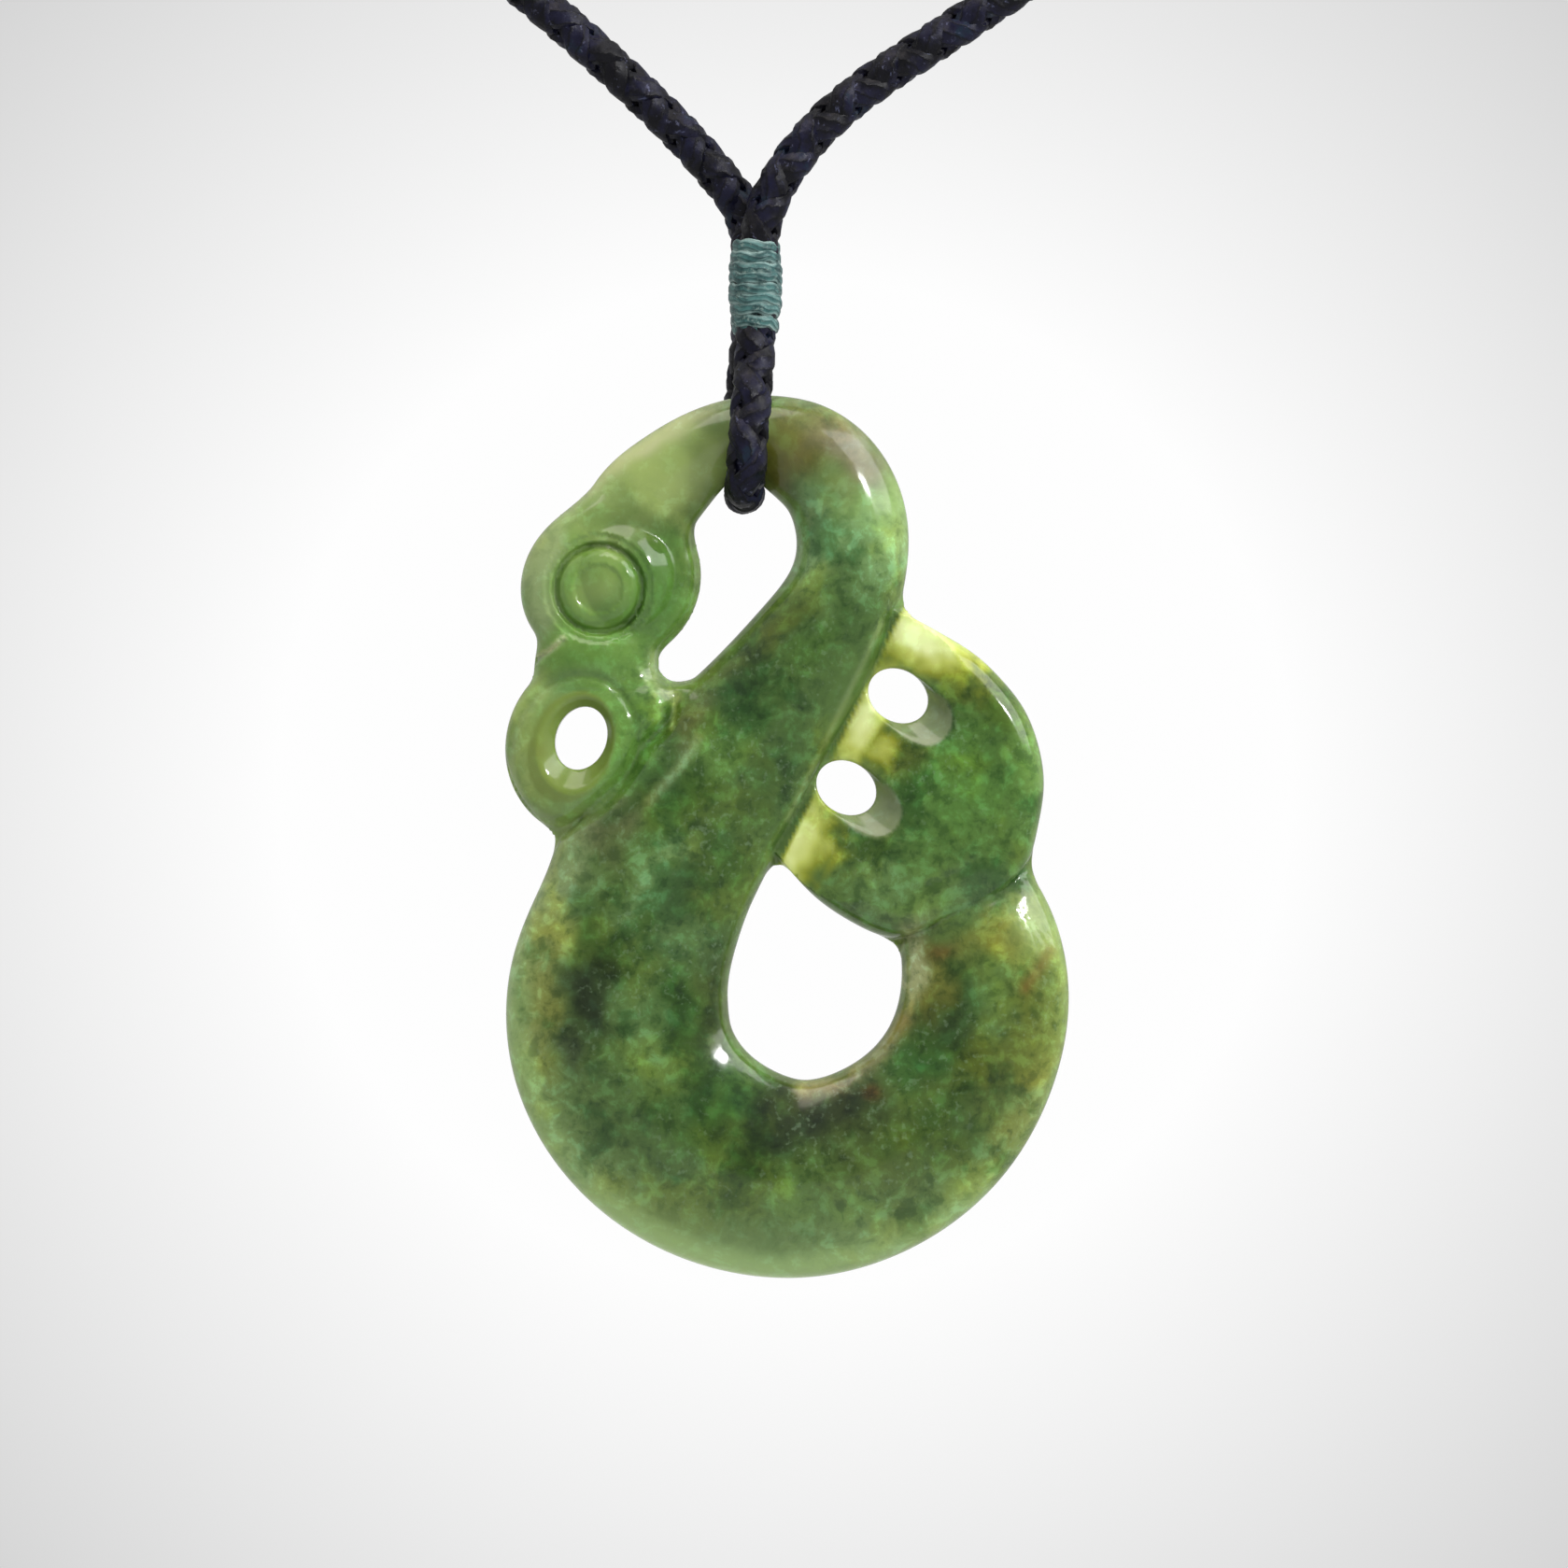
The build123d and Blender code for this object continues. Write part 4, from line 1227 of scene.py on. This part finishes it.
def jade_finish():
    """Polished translucent nephrite, mottled and flecked."""
    material, nodes, shader = new_material("polished_nephrite")
    where = nodes.place()
    bend = nodes.noise(where, BEND_NOISE, "Color")
    bent = nodes.vector("ADD", where, nodes.vector("MULTIPLY", bend, BEND_BY))
    noises = {name: nodes.noise(bent, kind) for name, kind in STONE_NOISE.items()}
    mottled = nodes.stored("mottled")
    colour = nodes.stored("tone", "Color")
    for mottle in MOTTLING:
        there = nodes.times(
            nodes.span(noises[mottle.noise], mottle.span), nodes.span(mottled, Span(0, 1, mottle.calm, 1)),
        )
        colour = nodes.mix(there, colour, mottle.times, "MULTIPLY")
    flecks = nodes.times(
        nodes.span(nodes.noise(where, FLECK_NOISE), FLECK_SPAN),
        nodes.span(nodes.noise(bent, FLECK_ZONES), FLECK_ZONES_SPAN),
        FLECK_STRENGTH,
        nodes.span(mottled, Span(0, 1, FLECK_CALM, 1)),
    )
    colour = nodes.mix(flecks, colour, screen(FLECK_COLOUR))
    # Painted light shining through the thin stone near the outline
    colour = nodes.mix(nodes.span(nodes.stored("edge"), RIM_LIGHT_SPAN), colour, screen(RIM_LIGHT_COLOUR))
    nodes.give(shader.inputs["Base Color"], colour)
    nodes.give(shader.inputs["Roughness"], nodes.span(noises["grains"], POLISH_SPAN))
    nodes.give(shader.inputs["Emission Color"], nodes.mix(nodes.stored("glow"), (0, 0, 0, 1), colour))
    for name, value in STONE_BODY.items():
        shader.inputs[name].default_value = value
    return material


def fibre_group():
    """Fine twisted fibres along a strand: their shade, their height, pale streaks of worn wax and painted
    glints, and the strand's edges.
    """
    tree = bpy.data.node_groups.new("twisted_fibres", "ShaderNodeTree")
    for name in ("Count", "Twist", "Fuzz"):
        tree.interface.new_socket(name=name, in_out="INPUT", socket_type="NodeSocketFloat")
    for name in ("Shade", "Height", "Wax_glint", "Edge"):
        tree.interface.new_socket(name=name, in_out="OUTPUT", socket_type="NodeSocketFloat")
    nodes = Nodes(tree)
    given = nodes.add("NodeGroupInput").outputs
    uv = nodes.add("ShaderNodeUVMap", uv_map="thread").outputs[0]
    around, along, _ = nodes.add("ShaderNodeSeparateXYZ", {0: uv}).outputs
    twisted = nodes.math("ADD", nodes.times(around, given["Count"]), nodes.times(along, given["Twist"]))
    wobble = nodes.times(nodes.noise(nodes.place(), FIBRE_WOBBLE), given["Fuzz"])
    wave = nodes.math("SINE", nodes.times(nodes.math("ADD", twisted, wobble), math.pi))
    wave = nodes.math("ABSOLUTE", wave)
    from_crest = nodes.math("ABSOLUTE", nodes.math("SUBTRACT", around, CREST))
    nodes.add("NodeGroupOutput", {
        "Shade": nodes.span(wave, FIBRE_SPAN),
        "Height": wave,
        "Wax_glint": nodes.noise(nodes.vector("MULTIPLY", uv, STREAK_DRAWN), STREAK_NOISE),
        "Edge": nodes.span(from_crest, CREST_SPAN),
    })
    return tree


fibres = fibre_group()


def thread_finish(name, thread):
    """Waxed thread, with its fibres, patches, wax, and pale streaks of worn wax and painted glints."""
    material, nodes, shader = new_material(name)
    where = nodes.place()
    given = {"Count": thread.count, "Twist": thread.twist, "Fuzz": thread.fuzz}
    strand = nodes.add("ShaderNodeGroup", given, node_tree=fibres).outputs
    masks = {
        "patchy": nodes.noise(where, thread.patchy),
        "wax": nodes.noise(where, thread.wax),
        "Shade": strand["Shade"],
        "Wax_glint": strand["Wax_glint"],
    }
    colour = screen(thread.base)
    for layer in thread.layers:
        there = nodes.span(masks[layer.mask], layer.span)
        if layer.at_edges:
            there = nodes.times(there, strand["Edge"])
        colour = nodes.mix(there, colour, screen(layer.colour))
    bump = nodes.add("ShaderNodeBump", {
        "Height": strand["Height"], "Strength": thread.relief, "Distance": FIBRE_HIGH,
    })
    nodes.give(shader.inputs["Base Color"], colour)
    nodes.give(shader.inputs["Roughness"], nodes.span(masks["wax"], thread.rough))
    nodes.give(shader.inputs["Normal"], bump.outputs[0])
    shader.inputs["Specular IOR Level"].default_value = thread.gloss
    return material


jade_piece.data.materials.append(jade_finish())
cord_piece.data.materials.append(thread_finish("waxed_navy_plait", NAVY_PLAIT))
teal_thread = thread_finish("waxed_teal_thread", TEAL_THREAD)
whipping_piece.data.materials.append(teal_thread)
tie_piece.data.materials.append(teal_thread)


# Studio: a pale sweep of paper far behind and below, and soft light

# The paper, in metres, and its painted light: how white it glows in the middle of the view and how grey far
# from it
SWEEP_FRONT = -3.0
SWEEP_BACK = 3.0
SWEEP_DOWN = -0.42
SWEEP_UP = 4.0
SWEEP_WIDE = 4.0
PAPER_LIGHT_FADE = Span(0.15, 0.40)
PAPER_WHITE = (0.99, 0.99, 0.99, 1)
PAPER_GREY = (0.54, 0.54, 0.54, 1)

# The room's own light, brightest toward this side, above and behind the necklace
ROOM_SIDE = (0.25, 0.75, 0.6)
ROOM_LIGHT = Span(-0.9, 0.7, 0.32, 0.90)
BLACK = (0, 0, 0, 1)
WHITE = (1, 1, 1, 1)

# Soft lights: where each hangs in mm, how wide it is in metres, its power and its colour
Softbox = namedtuple("Softbox", "name at wide power colour")
SOFTBOXES = [Softbox(*row) for row in (
    ("key", (490, -520, 150), 0.08, 1.8, (1, 1, 1)),
    ("window", (1000, -450, 600), 1.0, 12.0, (1, 1, 1)),
    ("above", (-150, -380, 900), 0.8, 6.0, (1.0, 0.90, 0.84)),
)]


def backdrop():
    """Curve pale paper from the floor up behind the necklace, glowing with painted light that is whiter in
    the middle.
    """
    profile = ((SWEEP_FRONT, SWEEP_DOWN), (SWEEP_BACK, SWEEP_DOWN), (SWEEP_BACK, SWEEP_UP))
    points = [(x, y, z) for y, z in profile for x in (-SWEEP_WIDE, SWEEP_WIDE)]
    faces = [(2 * i, 2 * i + 1, 2 * i + 3, 2 * i + 2) for i in range(len(profile) - 1)]
    paper = make_mesh("paper", np.array(points) / MM, faces)
    paper.data.shade_flat()
    material = bpy.data.materials.new("pale_paper")
    material.use_nodes = True
    material.node_tree.nodes.clear()
    nodes = Nodes(material.node_tree)
    position = nodes.add("ShaderNodeNewGeometry").outputs["Position"]
    away = nodes.add("ShaderNodeVectorMath", {
        0: nodes.vector("MULTIPLY", position, (1, 0, 1)), 1: (VIEW_AT.x, 0, VIEW_AT.z),
    }, operation="DISTANCE").outputs["Value"]
    colour = nodes.mix(nodes.span(away, PAPER_LIGHT_FADE, soft=False), PAPER_WHITE, PAPER_GREY)
    glow = nodes.add("ShaderNodeEmission", {"Color": colour, "Strength": 1.0})
    nodes.add("ShaderNodeOutputMaterial", {"Surface": glow.outputs[0]})
    paper.data.materials.append(material)


def hang(softbox):
    """Hang a square soft light that looks at the carving."""
    light = bpy.data.lights.new(softbox.name, "AREA")
    light.size, light.energy, light.color = softbox.wide, softbox.power, softbox.colour
    lamp = bpy.data.objects.new(softbox.name, light)
    lamp.location = Vector(softbox.at) * MM
    lamp.rotation_euler = (VIEW_AT - lamp.location).to_track_quat("-Z", "Y").to_euler()
    bpy.context.scene.collection.objects.link(lamp)


def studio():
    """Light the necklace softly from all round, with a small key from the upper right."""
    world = bpy.data.worlds.new("studio")
    world.use_nodes = True
    nodes = Nodes(world.node_tree)
    toward = nodes.add("ShaderNodeTexCoord").outputs["Generated"]
    facing = nodes.add("ShaderNodeVectorMath", {0: toward, 1: ROOM_SIDE}, operation="DOT_PRODUCT")
    bright = nodes.span(facing.outputs["Value"], ROOM_LIGHT)
    background = world.node_tree.nodes["Background"]
    nodes.give(background.inputs["Color"], nodes.mix(bright, BLACK, WHITE))
    bpy.context.scene.world = world
    for softbox in SOFTBOXES:
        hang(softbox)


backdrop()
studio()
bpy.context.scene.view_settings.view_transform = "Standard"
